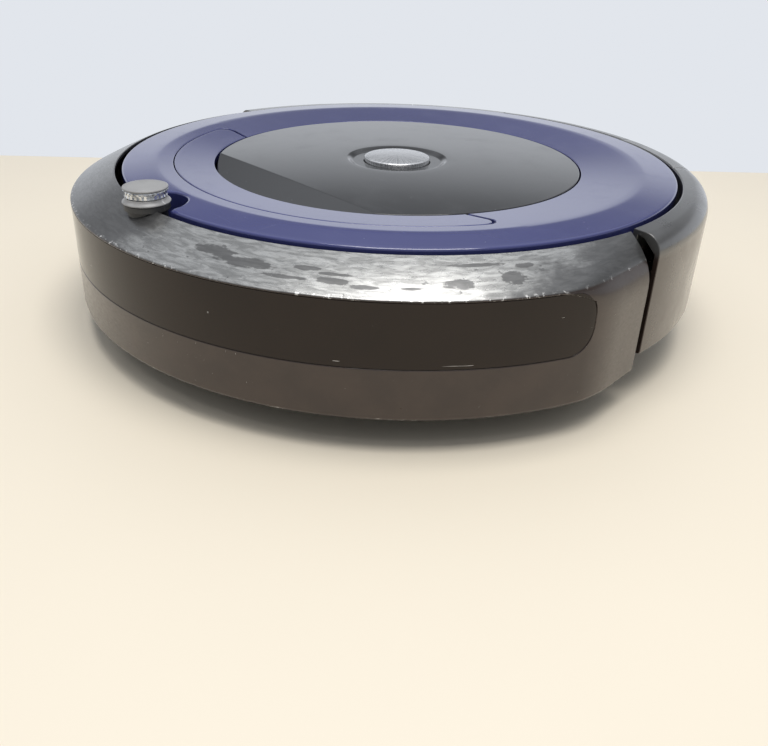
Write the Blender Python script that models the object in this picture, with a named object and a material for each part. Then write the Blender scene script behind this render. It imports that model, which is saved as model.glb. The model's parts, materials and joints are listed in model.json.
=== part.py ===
# Robot vacuum, built as an assembly. Millimetres in the values below, metres in the scene.
# +Z is up, the front faces -Y, and the origin is on the floor under the middle of the outline.
import math

import bmesh
import bpy
from mathutils import Matrix, Vector

MM = 0.001

# ---- driving dimensions (mm) -------------------------------------------------
RING_Y = 6.0              # y of the axis shared by ring, disc and button
GAP = 0.3                 # general clearance between touching pieces
RUN_GAP = 0.3             # radial running clearance of pins and axles

# bumper
BUMPER_RADIUS = 180.0     # front arc of the outer wall
BUMPER_SHIFT = 2.5        # arc centre forward of the ring axis
SIDE_HALF_WIDTH = 176.5   # where the arc ends and the flat side begins
SIDE_END_WIDTH = 172.5    # half width at the bumper's end face
BUMPER_END = 2.5          # end face, forward of the ring axis
BUMPER_WALL = 3.0
BUMPER_TRAVEL = 3.0
BUMPER_BOTTOM = 16.2
EDGE_Z = 71.6             # crisp edge between wall and sloping top
WINDOW_BOTTOM = 41.2
WINDOW_HALF_ANGLE = 76.5
WINDOW_THICK = 1.4
END_FILLET = 10.5         # rounding of the top edge at the bumper's ends
INNER_EDGE_Z = 82.4

# rear body
REAR_RADIUS = 172.3
REAR_SHIFT = 1.8          # its arc centre forward of the ring axis
REAR_WALL = 2.6
REAR_BOTTOM = 24.0
REAR_FILLET = 9.0
SHOULDER_DROP = 0.3       # top of the rounded shoulder below the rim
RIM_Z = 82.5
RIM_INNER = 157.2
SLIT = 4.2                # gap between bumper end and rear body
DECK_Z = 66.0
DECK_THICK = 2.5

# ring, disc, button, handle
RING_INNER = 104.6
RING_CREASE = 136.6
RING_OUTER = 154.2
RING_INNER_Z = 81.2
RING_CREASE_Z = 84.5
RING_OUTER_Z = 83.3
RING_THICK = 2.5
NOTCH_HALF_WIDTH = 14.0
NOTCH_BACK = 138.5
DISC_RADIUS = 103.8
DISC_Z = 81.2
DISC_THICK = 2.5
FACET_CHORD = 76.5        # facet starts this far forward of the axis
FACET_SLOPE = 0.33
DISH_RADIUS = 29.4
DISH_DEPTH = 1.6
BUTTON_RADIUS = 18.9
BUTTON_TRAVEL = 1.5
BUTTON_TOP = 83.0
BUTTON_DOME = 1.1
HANDLE_OUTER = 127.0
HANDLE_THICK = 4.2
HINGE_FORWARD = 43.0
HINGE_Z = 79.2
BARREL_RADIUS = 4.2
BARREL_GAP = 0.35
HANDLE_LIFT = 70.0        # degrees
HANDLE_PIN_RADIUS = 1.5
HANDLE_PIN_SHARE = 6.0    # length of the pin held in the barrel and in the ring

# knob on the bumper
KNOB_FORWARD = 158.0
KNOB_BASE_Z = 81.2
KNOB_TOP = 92.0
KNOB_CAP_RADIUS = 10.6
KNOB_FLARE_RADIUS = 12.0

# chassis
CHASSIS_RADIUS = 166.0
CHASSIS_FLAT = 154.0
CHASSIS_Z = 12.0
CHASSIS_THICK = 2.5
CHASSIS_LIP_Z = 22.0
CHASSIS_WALL_TOP = 32.0
CONTACT_PLACE = (50.0, -112.0)
CONTACT_SIZE = (22.0, 11.0)
CLIFF_PLACES = ((34.0, -138.0), (128.0, -60.0))
CLIFF_SIZE = (16.0, 6.0)

# drive wheels
WHEEL_X = 117.0
WHEEL_RADIUS = 36.0
WHEEL_WIDTH = 22.0
TYRE_THICK = 5.7
ARM_X = 98.0              # middle of the arm
ARM_WIDTH = 11.0
PIVOT_FORWARD = 52.0      # pivot ahead of the wheel's axle
PIVOT_Z = 50.0
AXLE_RADIUS = 3.0
PIVOT_PIN_RADIUS = 3.0
WHEEL_MOTOR_RADIUS = 9.5
WELL_EXTRA = 10.3         # room in front of the tyre, which swings forward as it drops
EAR_OFFSETS = (ARM_X - ARM_WIDTH / 2 - 4.0, WHEEL_X - 2.0)
EAR_THICK = 4.4
HUB_BIG = 20.0            # arm radius round the wheel's axle
HUB_SMALL = 8.5           # arm radius round the pivot

# cleaning head
FRONT_ROLLER_Y = 24.0
REAR_ROLLER_Y = 60.0
ROLLER_RADIUS = 17.0
ROLLER_LENGTH = 148.0
ROLLER_Z = 19.2
HEAD_HALF_WIDTH = 88.0
HEAD_FRONT = 2.0
HEAD_REAR = 82.0
HEAD_TOP = 43.0
HEAD_WALL = 2.2
FRAME_BOTTOM = 9.0
FRAME_THICK = 2.4

# side brush
SIDE_BRUSH = (-98.0, -88.0)
SIDE_BRUSH_REACH = 58.0

# caster
CASTER_Y = -118.0
CASTER_WHEEL_RADIUS = 13.5
CASTER_WHEEL_WIDTH = 15.0
CASTER_TRAIL = 5.5
CASTER_CUP_RADIUS = 23.0

# dust bin
BIN_HALF_ANGLE = 43.6
BIN_HALF_WIDTH = 103.0
BIN_FRONT = 91.0
BIN_BOTTOM = 14.0
BIN_TOP = 62.8
BIN_WALL = 2.0
RELEASE_HALF_ANGLE = 18.5

# battery and boards
BATTERY_SIZE = (110.0, 72.0, 36.0)
BATTERY_Y = -50.0
COVER_MARGIN = 7.0

SEGMENTS = 40


# ---- materials ------------------------------------------------------------------
def make_material(name, colour, roughness, metallic=0.0):
    material = bpy.data.materials.new(name)
    material.use_nodes = True
    shader = material.node_tree.nodes["Principled BSDF"]
    shader.inputs["Base Color"].default_value = (*colour, 1.0)
    shader.inputs["Roughness"].default_value = roughness
    shader.inputs["Metallic"].default_value = metallic
    return material


FINISHES = {
    "navy_gloss": ((0.020, 0.022, 0.095), 0.12, 0.0),
    "black_gloss": ((0.006, 0.006, 0.007), 0.06, 0.0),
    "black_satin": ((0.020, 0.020, 0.021), 0.45, 0.0),
    "warm_grey": ((0.060, 0.056, 0.052), 0.42, 0.0),
    "gunmetal": ((0.23, 0.22, 0.21), 0.36, 0.75),
    "window_brown": ((0.016, 0.012, 0.010), 0.12, 0.0),
    "bright_metal": ((0.80, 0.80, 0.82), 0.26, 1.0),
    "steel": ((0.55, 0.55, 0.56), 0.30, 1.0),
    "prism": ((0.70, 0.72, 0.75), 0.08, 0.0),
    "cap_grey": ((0.16, 0.155, 0.15), 0.55, 0.0),
    "rubber": ((0.018, 0.018, 0.018), 0.80, 0.0),
    "roller_green": ((0.16, 0.30, 0.10), 0.60, 0.0),
    "board_green": ((0.02, 0.13, 0.06), 0.50, 0.0),
    "battery_blue": ((0.05, 0.12, 0.30), 0.45, 0.0),
    "filter_white": ((0.80, 0.78, 0.72), 0.90, 0.0),
    "bin_smoke": ((0.05, 0.05, 0.055), 0.25, 0.0),
}


# ---- mesh helpers -----------------------------------------------------------------
def finish_node(name, bm, finish):
    bmesh.ops.remove_doubles(bm, verts=bm.verts, dist=0.002)
    bmesh.ops.recalc_face_normals(bm, faces=bm.faces)
    bmesh.ops.scale(bm, vec=(MM, MM, MM), verts=bm.verts)
    mesh = bpy.data.meshes.new(name)
    bm.to_mesh(mesh)
    bm.free()
    mesh.shade_smooth()
    mesh.set_sharp_from_angle(angle=math.radians(35))
    node = bpy.data.objects.new(name, mesh)
    bpy.context.scene.collection.objects.link(node)
    mesh.materials.append(make_material(name, *FINISHES[finish]))
    return node


def cutter(name, bm):
    node = finish_node(name, bm, "black_satin")
    node.hide_render = True
    node.display_type = "WIRE"
    return node


def cut(node, *tools, operation="DIFFERENCE"):
    for tool in tools:
        step = node.modifiers.new(tool.name, "BOOLEAN")
        step.operation = operation
        step.solver = "EXACT"
        step.object = tool
    return node


def box_mesh(low, high, bm=None):
    bm = bm or bmesh.new()
    low, high = Vector(low), Vector(high)
    size = high - low
    place = Matrix.Translation((low + high) / 2) @ Matrix.Diagonal((*size, 1))
    bmesh.ops.create_cube(bm, size=1, matrix=place)
    return bm


def round_edges(bm, width, segments=1):
    bmesh.ops.bevel(bm, geom=bm.edges[:], offset=width, segments=segments, affect="EDGES")
    return bm


def tube_mesh(stations, closed=False):
    """Joins equal rings of points in turn; open ends get a flat cap."""
    bm = bmesh.new()
    rings = [[bm.verts.new(point) for point in ring] for ring in stations]
    count = len(rings[0])
    last = len(rings) if closed else len(rings) - 1
    for i in range(last):
        here, there = rings[i], rings[(i + 1) % len(rings)]
        for j in range(count):
            k = (j + 1) % count
            bm.faces.new((here[j], here[k], there[k], there[j]))
    if not closed:
        bm.faces.new(rings[0])
        bm.faces.new(rings[-1])
    return bm


def lathe_mesh(profile, segments=24, centre=(0.0, 0.0, 0.0), axis="Z"):
    """Turns a profile of (radius, height) points; radius 0 ends close on the axis."""
    bm = bmesh.new()
    turn = {"Z": Matrix(), "X": Matrix.Rotation(math.pi / 2, 4, "Y"),
            "Y": Matrix.Rotation(-math.pi / 2, 4, "X")}[axis]
    place = Matrix.Translation(Vector(centre)) @ turn
    rings = []
    for radius, height in profile:
        if radius < 1e-6:
            rings.append([bm.verts.new(place @ Vector((0, 0, height)))])
            continue
        ring = []
        for i in range(segments):
            a = 2 * math.pi * i / segments
            ring.append(bm.verts.new(place @ Vector((radius * math.cos(a), radius * math.sin(a), height))))
        rings.append(ring)
    for end, beside in ((0, 1), (-1, -2)):
        if profile[end][0] < 1e-6 and profile[end][1] == profile[beside][1]:
            bm.faces.new(rings[beside])
            bm.verts.remove(rings[end][0])
            rings[end] = None
    solid_ends = rings[0] is None or len(rings[0]) == 1
    rings = [ring for ring in rings if ring]
    pairs = list(zip(rings, rings[1:]))
    if not solid_ends:
        pairs.append((rings[-1], rings[0]))
    for here, there in pairs:
        if len(here) == 1 and len(there) == 1:
            continue
        for j in range(segments):
            k = (j + 1) % segments
            if len(here) == 1:
                bm.faces.new((here[0], there[k], there[j]))
            elif len(there) == 1:
                bm.faces.new((here[j], here[k], there[0]))
            else:
                bm.faces.new((here[j], here[k], there[k], there[j]))
    return bm


def cylinder(radius, low, high, centre, axis="Z", segments=24, bore=0.0):
    """A rod or, with a bore, a sleeve from low to high along the axis through centre."""
    inner = bore if bore > 0 else 0.0
    return lathe_mesh([(inner, low), (radius, low), (radius, high), (inner, high)], segments, centre, axis)


def polar(radius, degrees_from_front, z, forward=0.0):
    """A point at an angle from the front round a centre that lies forward of the ring axis."""
    a = math.radians(degrees_from_front)
    return (radius * math.sin(a), RING_Y - forward - radius * math.cos(a), z)


def rim_polar(radius, degrees_from_front, z):
    """Like polar, on a centre that slides from the ring axis at the rim to the rear wall's own centre."""
    share = (radius - RIM_INNER) / (REAR_RADIUS - RIM_INNER)
    return polar(radius, degrees_from_front, z, REAR_SHIFT * share)


def steps(start, stop, count):
    return [start + (stop - start) * i / count for i in range(count + 1)]


# ---- outlines ---------------------------------------------------------------------
ARC_END = math.degrees(math.asin(SIDE_HALF_WIDTH / BUMPER_RADIUS))


def bumper_outline(s, inset=0.0):
    """Plan point of the bumper wall: s from -1 to 1 along arc and flat sides, inset inwards."""
    side = 1 if s >= 0 else -1
    arc_share = 0.9
    t = abs(s)
    radius = BUMPER_RADIUS - inset
    if t <= arc_share:
        a = math.radians(ARC_END * t / arc_share)
        return (side * radius * math.sin(a), RING_Y - BUMPER_SHIFT - radius * math.cos(a))
    u = (t - arc_share) / (1 - arc_share)
    a = math.radians(ARC_END)
    start = (radius * math.sin(a), BUMPER_SHIFT + radius * math.cos(a))
    end = (SIDE_END_WIDTH - inset, BUMPER_END)
    return (side * (start[0] + (end[0] - start[0]) * u), RING_Y - (start[1] + (end[1] - start[1]) * u))


def bumper_rim(s):
    """Plan point of the bumper's inner top edge, beside the same s."""
    x, y = bumper_outline(s)
    inner = RING_OUTER + 0.6 + BUMPER_TRAVEL + GAP + 0.4
    angle = math.atan2(x, RING_Y - y)
    forward = max(inner * math.cos(angle), BUMPER_END)
    lateral = math.sqrt(max(inner ** 2 - forward ** 2, 0.0))
    return (math.copysign(lateral, s) if abs(s) > 1e-9 else 0.0, RING_Y - forward)


def mix(a, b, t):
    return (a[0] + (b[0] - a[0]) * t, a[1] + (b[1] - a[1]) * t)


def bumper_ring(s, recess=0.0):
    """Section of the bumper at s: sloping top, wall and turned-in bottom lip."""
    outer = bumper_outline(s)
    rim = bumper_rim(s)
    inside = bumper_outline(s, BUMPER_WALL)
    span = math.dist(outer, rim)
    blend = min(max((abs(s) - 0.84) / 0.08, 0.0), 1.0)
    fillet = 0.8 + (END_FILLET - 0.8) * blend
    slope = (INNER_EDGE_Z - EDGE_Z) / span
    back = fillet / span
    corner = [(mix(outer, rim, back), EDGE_Z + slope * fillet),
              (mix(outer, rim, back * 0.25), EDGE_Z + slope * fillet * 0.25 - fillet * 0.22),
              (outer, EDGE_Z - fillet)]
    under = 2.6
    wall_in = bumper_outline(s, BUMPER_WALL + 0.2)
    points = [(rim, INNER_EDGE_Z)] + corner
    points += [(bumper_outline(s, recess), WINDOW_BOTTOM), (outer, WINDOW_BOTTOM), (outer, BUMPER_BOTTOM + 1.4)]
    if recess:
        points[3] = (bumper_outline(s, recess), EDGE_Z - fillet)
    points += [(bumper_outline(s, 1.4), BUMPER_BOTTOM), (inside, BUMPER_BOTTOM)]
    points += [(wall_in, EDGE_Z - fillet * 0.75 - under * 0.4)]
    points += [(mix(outer, rim, back + 0.12), EDGE_Z + slope * fillet - under)]
    points += [(rim, INNER_EDGE_Z - under + 0.3)]
    return [(p[0], p[1], z) for p, z in points]


# ---- outer shells -----------------------------------------------------------------
def build_bumper():
    window_share = WINDOW_HALF_ANGLE / ARC_END * 0.9
    s_values = steps(-1, -0.9, 2)[:-1] + steps(-0.9, 0.9, 28) + steps(0.9, 1, 2)[1:]
    body = finish_node("bumper", tube_mesh([bumper_ring(s) for s in s_values]), "gunmetal")

    band = []
    for s in steps(-window_share, window_share, 26):
        deep = bumper_outline(s, WINDOW_THICK + GAP)
        proud = bumper_outline(s, -6.0)
        low, high = WINDOW_BOTTOM - GAP, EDGE_Z - 1.3
        band.append([(*deep, low), (*proud, low), (*proud, high), (*deep, high)])
    recess = cutter("window_recess", tube_mesh(band))
    ports = bmesh.new()
    for angle in (-60, -36, -12, 12, 36, 60):
        spin = Matrix.Translation((0, RING_Y - BUMPER_SHIFT, 0)) @ Matrix.Rotation(math.radians(angle), 4, "Z")
        place = spin @ Matrix.Translation((0, -BUMPER_RADIUS, 56)) @ Matrix.Diagonal((22, 16, 14, 1))
        bmesh.ops.create_cube(ports, size=1, matrix=place)
    port_cutter = cutter("sensor_ports", ports)
    boss = cutter("knob_boss", cylinder(9.4, 74.0, KNOB_BASE_Z - GAP, (0, RING_Y - KNOB_FORWARD, 0),
                                        segments=20))
    seat = cutter("knob_seat", cylinder(KNOB_FLARE_RADIUS + GAP, KNOB_BASE_Z - GAP, KNOB_TOP,
                                        (0, RING_Y - KNOB_FORWARD, 0)))
    cut(body, seat)
    cut(body, boss, operation="UNION")
    cut(body, recess, port_cutter)

    strip = []
    margin = GAP / BUMPER_RADIUS * 57.3 / ARC_END * 0.9
    for s in steps(-window_share + margin, window_share - margin, 26):
        inner = bumper_outline(s, WINDOW_THICK)
        outer = bumper_outline(s, 0.0)
        low, high = WINDOW_BOTTOM, EDGE_Z - 1.6
        strip.append([(*inner, low), (*outer, low), (*outer, high), (*inner, high)])
    finish_node("bumper_window", tube_mesh(strip), "window_brown")


def rear_ring(angle, plane=None):
    """Section of the rear body at an angle from the front, or on the plane that faces the slit."""
    def place(radius, z):
        if plane is None:
            return rim_polar(radius, angle, z)
        side = 1 if angle > 0 else -1
        forward = plane - REAR_SHIFT
        return (side * math.sqrt(radius ** 2 - forward ** 2), RING_Y - plane, z)

    r, f = REAR_RADIUS, REAR_FILLET
    inner_rim = RIM_INNER
    arc = [(r - f + f * math.sin(math.radians(a)), RIM_Z - SHOULDER_DROP - f + f * math.cos(math.radians(a)))
           for a in (8, 36, 64, 90)]
    outer = [(inner_rim, RIM_Z)] + arc + [(r, REAR_BOTTOM + 1.2), (r - 1.2, REAR_BOTTOM)]
    inner = [(r - REAR_WALL, REAR_BOTTOM), (r - REAR_WALL, RIM_Z - SHOULDER_DROP - f),
             (r - f, RIM_Z - 0.7 - REAR_WALL),
             (inner_rim + REAR_WALL, RIM_Z - REAR_WALL), (inner_rim + REAR_WALL, DECK_Z - DECK_THICK - 0.9),
             (inner_rim, DECK_Z - DECK_THICK - 0.9)]
    return [place(radius, z) for radius, z in outer + inner]


def wheel_space(name):
    wells = bmesh.new()
    for side in (-1, 1):
        x0, x1 = sorted((side * (ARM_X - ARM_WIDTH / 2 - 2), side * (WHEEL_X + WHEEL_WIDTH / 2 + 3)))
        half = WHEEL_RADIUS + 4
        box_mesh((x0, RING_Y - half, 40), (x1, RING_Y + half, 2 * WHEEL_RADIUS + 3), wells)
    return cutter(name, wells)


def build_upper_shell():
    plane = BUMPER_END - SLIT
    first = 90 + math.degrees(math.asin(-(plane - REAR_SHIFT) / REAR_RADIUS))
    angles = steps(first + 1.5, 360 - first - 1.5, 26)
    stations = [rear_ring(90, plane)] + [rear_ring(a) for a in angles]
    stations.append(rear_ring(-90, plane))
    shell = finish_node("upper_shell", tube_mesh(stations), "warm_grey")

    deck_front = 151.0
    wall_foot = 50.0
    deck = cylinder(deck_front, DECK_Z - DECK_THICK, DECK_Z, (0, RING_Y, 0), segments=SEGMENTS)
    deck_node = cutter("deck_plate", deck)
    reach = RIM_INNER + 1.0
    low, high = DECK_Z - DECK_THICK + 0.3, DECK_Z - 0.3
    rear_deck = tube_mesh([[polar(60, a, low), polar(reach, a, low), polar(reach, a, high), polar(60, a, high)]
                           for a in steps(93, 267, 18)])
    rear_deck_node = cutter("rear_deck", rear_deck)
    skirt = lathe_mesh([(deck_front, wall_foot), (deck_front, DECK_Z - 1), (deck_front - 2.2, DECK_Z - 1),
                        (deck_front - 2.2, wall_foot)], SEGMENTS, (0, RING_Y, 0))
    skirt_node = cutter("deck_skirt", skirt)
    bin_space = cutter("bin_space", box_mesh((-BIN_HALF_WIDTH - 1, 84, 0), (BIN_HALF_WIDTH + 1, 200, BIN_TOP + GAP)))
    half = BIN_HALF_ANGLE
    inner = RIM_INNER - 0.6
    rim_cut = tube_mesh([[rim_polar(inner, a, 0), rim_polar(200, a, 0), rim_polar(200, a, 100),
                          rim_polar(inner, a, 100)] for a in steps(180 - half, 180 + half, 10)])
    rim_node = cutter("bin_rim_gap", rim_cut)
    wells_node = wheel_space("deck_wheel_space")
    cut(shell, deck_node, rear_deck_node, skirt_node, operation="UNION")
    cut(shell, rim_node, bin_space, wells_node)
    return shell


def ring_height(radius):
    if radius <= RING_CREASE:
        share = (radius - RING_INNER) / (RING_CREASE - RING_INNER)
        return RING_INNER_Z + (RING_CREASE_Z - RING_INNER_Z) * share
    share = (radius - RING_CREASE) / (RING_OUTER - RING_CREASE)
    return RING_CREASE_Z + (RING_OUTER_Z - RING_CREASE_Z) * share


HANDLE_SEAM = HINGE_FORWARD - math.sqrt((BARREL_RADIUS + BARREL_GAP) ** 2
                                        - (ring_height(HANDLE_OUTER) - HINGE_Z) ** 2)


def hinge_reach(radius):
    """How far from the middle plane a circle of this radius crosses the hinge line."""
    return math.sqrt(radius ** 2 - HINGE_FORWARD ** 2)


BARREL_FROM = hinge_reach(RING_INNER + GAP) + 0.8
BARREL_TO = hinge_reach(HANDLE_OUTER) - 1.9


def build_ring():
    foot = DECK_Z + GAP
    wall = 2.4

    def section(angle, inner, plane=None):
        def place(radius, z):
            if plane is None:
                return polar(radius, angle, z)
            return (math.copysign(math.sqrt(radius ** 2 - plane ** 2), angle), RING_Y - plane, z)
        top = [(inner, ring_height(inner)), (RING_CREASE, RING_CREASE_Z), (RING_OUTER, RING_OUTER_Z),
               (RING_OUTER + 0.7, RING_OUTER_Z - 1.6), (RING_OUTER + 0.7, 77.0), (RING_OUTER - 3.0, 73.0)]
        under = [(RING_OUTER - 3.0, foot), (RING_OUTER - 5.0, foot), (RING_OUTER - 5.0, RING_OUTER_Z - 2.0),
                 (RING_CREASE, RING_CREASE_Z - RING_THICK), (inner + wall, ring_height(inner) - RING_THICK),
                 (inner + wall, foot), (inner, foot)]
        return [place(radius, z) for radius, z in top + under]

    narrow = HANDLE_OUTER + 0.4
    step = 0.5
    seam = HANDLE_SEAM
    at_narrow = math.degrees(math.acos(seam / narrow))
    at_inner = math.degrees(math.acos(seam / RING_OUTER))
    front = [section(a, narrow) for a in steps(-at_narrow + 3, at_narrow - 3, 18)]
    rear = [section(a, RING_INNER) for a in steps(at_inner + 3, 360 - at_inner - 3, 28)]
    stations = front
    stations += [section(90, narrow, seam + step), section(90, RING_INNER, seam)]
    stations += rear
    stations += [section(-90, RING_INNER, seam), section(-90, narrow, seam + step)]
    ring = finish_node("top_ring", tube_mesh(stations, closed=True), "navy_gloss")

    notch = tube_mesh([[(math.cos(math.radians(a)) * NOTCH_HALF_WIDTH,
                         RING_Y - NOTCH_BACK - NOTCH_HALF_WIDTH + math.sin(math.radians(a)) * NOTCH_HALF_WIDTH, z)
                        for a in steps(0, 180, 8)] + [(-NOTCH_HALF_WIDTH, -170, z), (NOTCH_HALF_WIDTH, -170, z)]
                       for z in (50, 95)])
    notch_node = cutter("knob_notch", notch)
    room_end = hinge_reach(HANDLE_OUTER) + 1.5
    hinge = (0, RING_Y - HINGE_FORWARD, HINGE_Z)
    barrel_node = cutter("barrel_room", cylinder(BARREL_RADIUS + BARREL_GAP, -room_end, room_end, hinge, "X", 20))
    bores = cylinder(HANDLE_PIN_RADIUS + RUN_GAP, -RING_CREASE, RING_CREASE, hinge, "X", 12)
    bore_node = cutter("pin_bores", bores)
    lift = math.radians(HANDLE_LIFT)
    proud = ring_height(HANDLE_OUTER) - HINGE_Z
    along = (proud - 0.1 - proud * math.cos(lift)) / math.sin(lift)
    swing_back = HINGE_FORWARD - proud * math.sin(lift) + along * math.cos(lift) - 2 * GAP
    swing_node = cutter("swing_room", box_mesh((-room_end, RING_Y - HINGE_FORWARD, HINGE_Z + 1),
                                               (room_end, RING_Y - swing_back, RING_CREASE_Z + 6)))
    cut(ring, notch_node, barrel_node, swing_node, bore_node, wheel_space("ring_wheel_space"))


def build_handle():
    inner = RING_INNER + GAP
    section = [(r, ring_height(r)) for r in (inner, (inner + HANDLE_OUTER) / 2, HANDLE_OUTER)]
    section += [(HANDLE_OUTER, ring_height(HANDLE_OUTER) - HANDLE_THICK),
                (inner, ring_height(inner) - HANDLE_THICK + 0.8)]
    reach = math.degrees(math.acos(HINGE_FORWARD / inner)) - 3.0
    stations = [[polar(r, a, z) for r, z in section] for a in steps(-reach, reach, 18)]
    for side, index in ((-1, 0), (1, len(stations) + 1)):
        ends = [(side * math.sqrt(r ** 2 - HINGE_FORWARD ** 2), RING_Y - HINGE_FORWARD, z) for r, z in section]
        stations.insert(index, ends)
    handle = finish_node("handle", tube_mesh(stations), "navy_gloss")
    hinge = (0, RING_Y - HINGE_FORWARD, HINGE_Z)
    pin_from, pin_to = BARREL_TO - HANDLE_PIN_SHARE, BARREL_TO + HANDLE_PIN_SHARE
    for side, word in ((-1, "right"), (1, "left")):
        ends = sorted((side * BARREL_FROM, side * BARREL_TO))
        barrel = cutter(word + "_barrel", cylinder(BARREL_RADIUS, *ends, hinge, "X", 20))
        above = box_mesh((-BARREL_TO - 5, hinge[1] - 10, RING_INNER_Z - GAP),
                         (BARREL_TO + 5, hinge[1] + 10, KNOB_TOP))
        cut(barrel, cutter(word + "_barrel_flat", above))
        cut(handle, barrel, operation="UNION")
        bore_ends = sorted((side * (pin_from - 0.6), side * (BARREL_TO + 4)))
        bore = cylinder(HANDLE_PIN_RADIUS + RUN_GAP, *bore_ends, hinge, "X", 12)
        cut(handle, cutter(word + "_barrel_bore", bore))
        pin = cylinder(HANDLE_PIN_RADIUS, *sorted((side * pin_from, side * pin_to)), hinge, "X", 10)
        finish_node("handle_pin_" + word, pin, "steel")


def build_disc():
    foot = DECK_Z + GAP
    stations = []
    bore = BUTTON_RADIUS + 0.5
    facet_half = math.degrees(math.acos(FACET_CHORD / DISC_RADIUS))
    angles = steps(-facet_half, facet_half, 8) + steps(facet_half, 360 - facet_half, 26)[1:-1]
    for a in angles:
        on_facet = abs(a) < facet_half - 1e-6
        chord = FACET_CHORD / math.cos(math.radians(a)) if on_facet else DISC_RADIUS - 1.0
        edge_z = DISC_Z - FACET_SLOPE * max(DISC_RADIUS * math.cos(math.radians(a)) - FACET_CHORD, 0)
        chord = min(chord, DISC_RADIUS - 1.0)
        if not on_facet:
            edge_z = DISC_Z - 0.3
        dish = DISC_Z - DISH_DEPTH
        stations.append([polar(bore, a, dish), polar(DISH_RADIUS - 3.5, a, dish),
                         polar(DISH_RADIUS, a, DISC_Z), polar(chord, a, DISC_Z), polar(DISC_RADIUS, a, edge_z), polar(DISC_RADIUS, a, foot),
                         polar(DISC_RADIUS - 2, a, foot), polar(DISC_RADIUS - 2, a, edge_z - DISC_THICK - 0.5),
                         polar(min(chord, DISC_RADIUS - 3), a, DISC_Z - DISC_THICK),
                         polar(DISH_RADIUS, a, DISC_Z - DISC_THICK), polar(DISH_RADIUS - 3.5, a, dish - DISC_THICK),
                         polar(bore, a, dish - DISC_THICK)])
    finish_node("center_disc", tube_mesh(stations, closed=True), "black_gloss")


def build_button():
    r, top = BUTTON_RADIUS, BUTTON_TOP
    profile = [(0, 74.0), (3.0, 74.0), (3.0, 79.2), (r - 2.0, 79.2), (r - 2.0, 78.2), (r, 78.2), (r, top - 0.5),
               (r - 0.7, top), (r * 0.6, top + BUTTON_DOME * 0.7), (0, top + BUTTON_DOME)]
    node = finish_node("clean_button", lathe_mesh(profile, 28, (0, 0, 0)), "bright_metal")
    node.location = (0, RING_Y * MM, 0)


def build_knob():
    y = RING_Y - KNOB_FORWARD
    base = lathe_mesh([(0, KNOB_BASE_Z), (KNOB_FLARE_RADIUS, KNOB_BASE_Z),
                       (KNOB_FLARE_RADIUS, KNOB_BASE_Z + 0.8), (9.5, KNOB_BASE_Z + 2.8), (9.5, 86.5),
                       (0, 86.5)], 24, (0, y, 0))
    finish_node("sensor_base", base, "black_satin")
    prism = lathe_mesh([(0, 86.8), (9.2, 86.8), (10.4, 88.9), (0, 88.9)], 24, (0, y, 0))
    finish_node("sensor_prism", prism, "prism")
    cap = lathe_mesh([(0, 89.2), (KNOB_CAP_RADIUS - 0.5, 89.2), (KNOB_CAP_RADIUS, 89.8),
                      (KNOB_CAP_RADIUS, 91.0), (KNOB_CAP_RADIUS - 1.2, KNOB_TOP), (0, KNOB_TOP)],
                     24, (0, y, 0))
    finish_node("sensor_cap", cap, "cap_grey")


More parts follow.
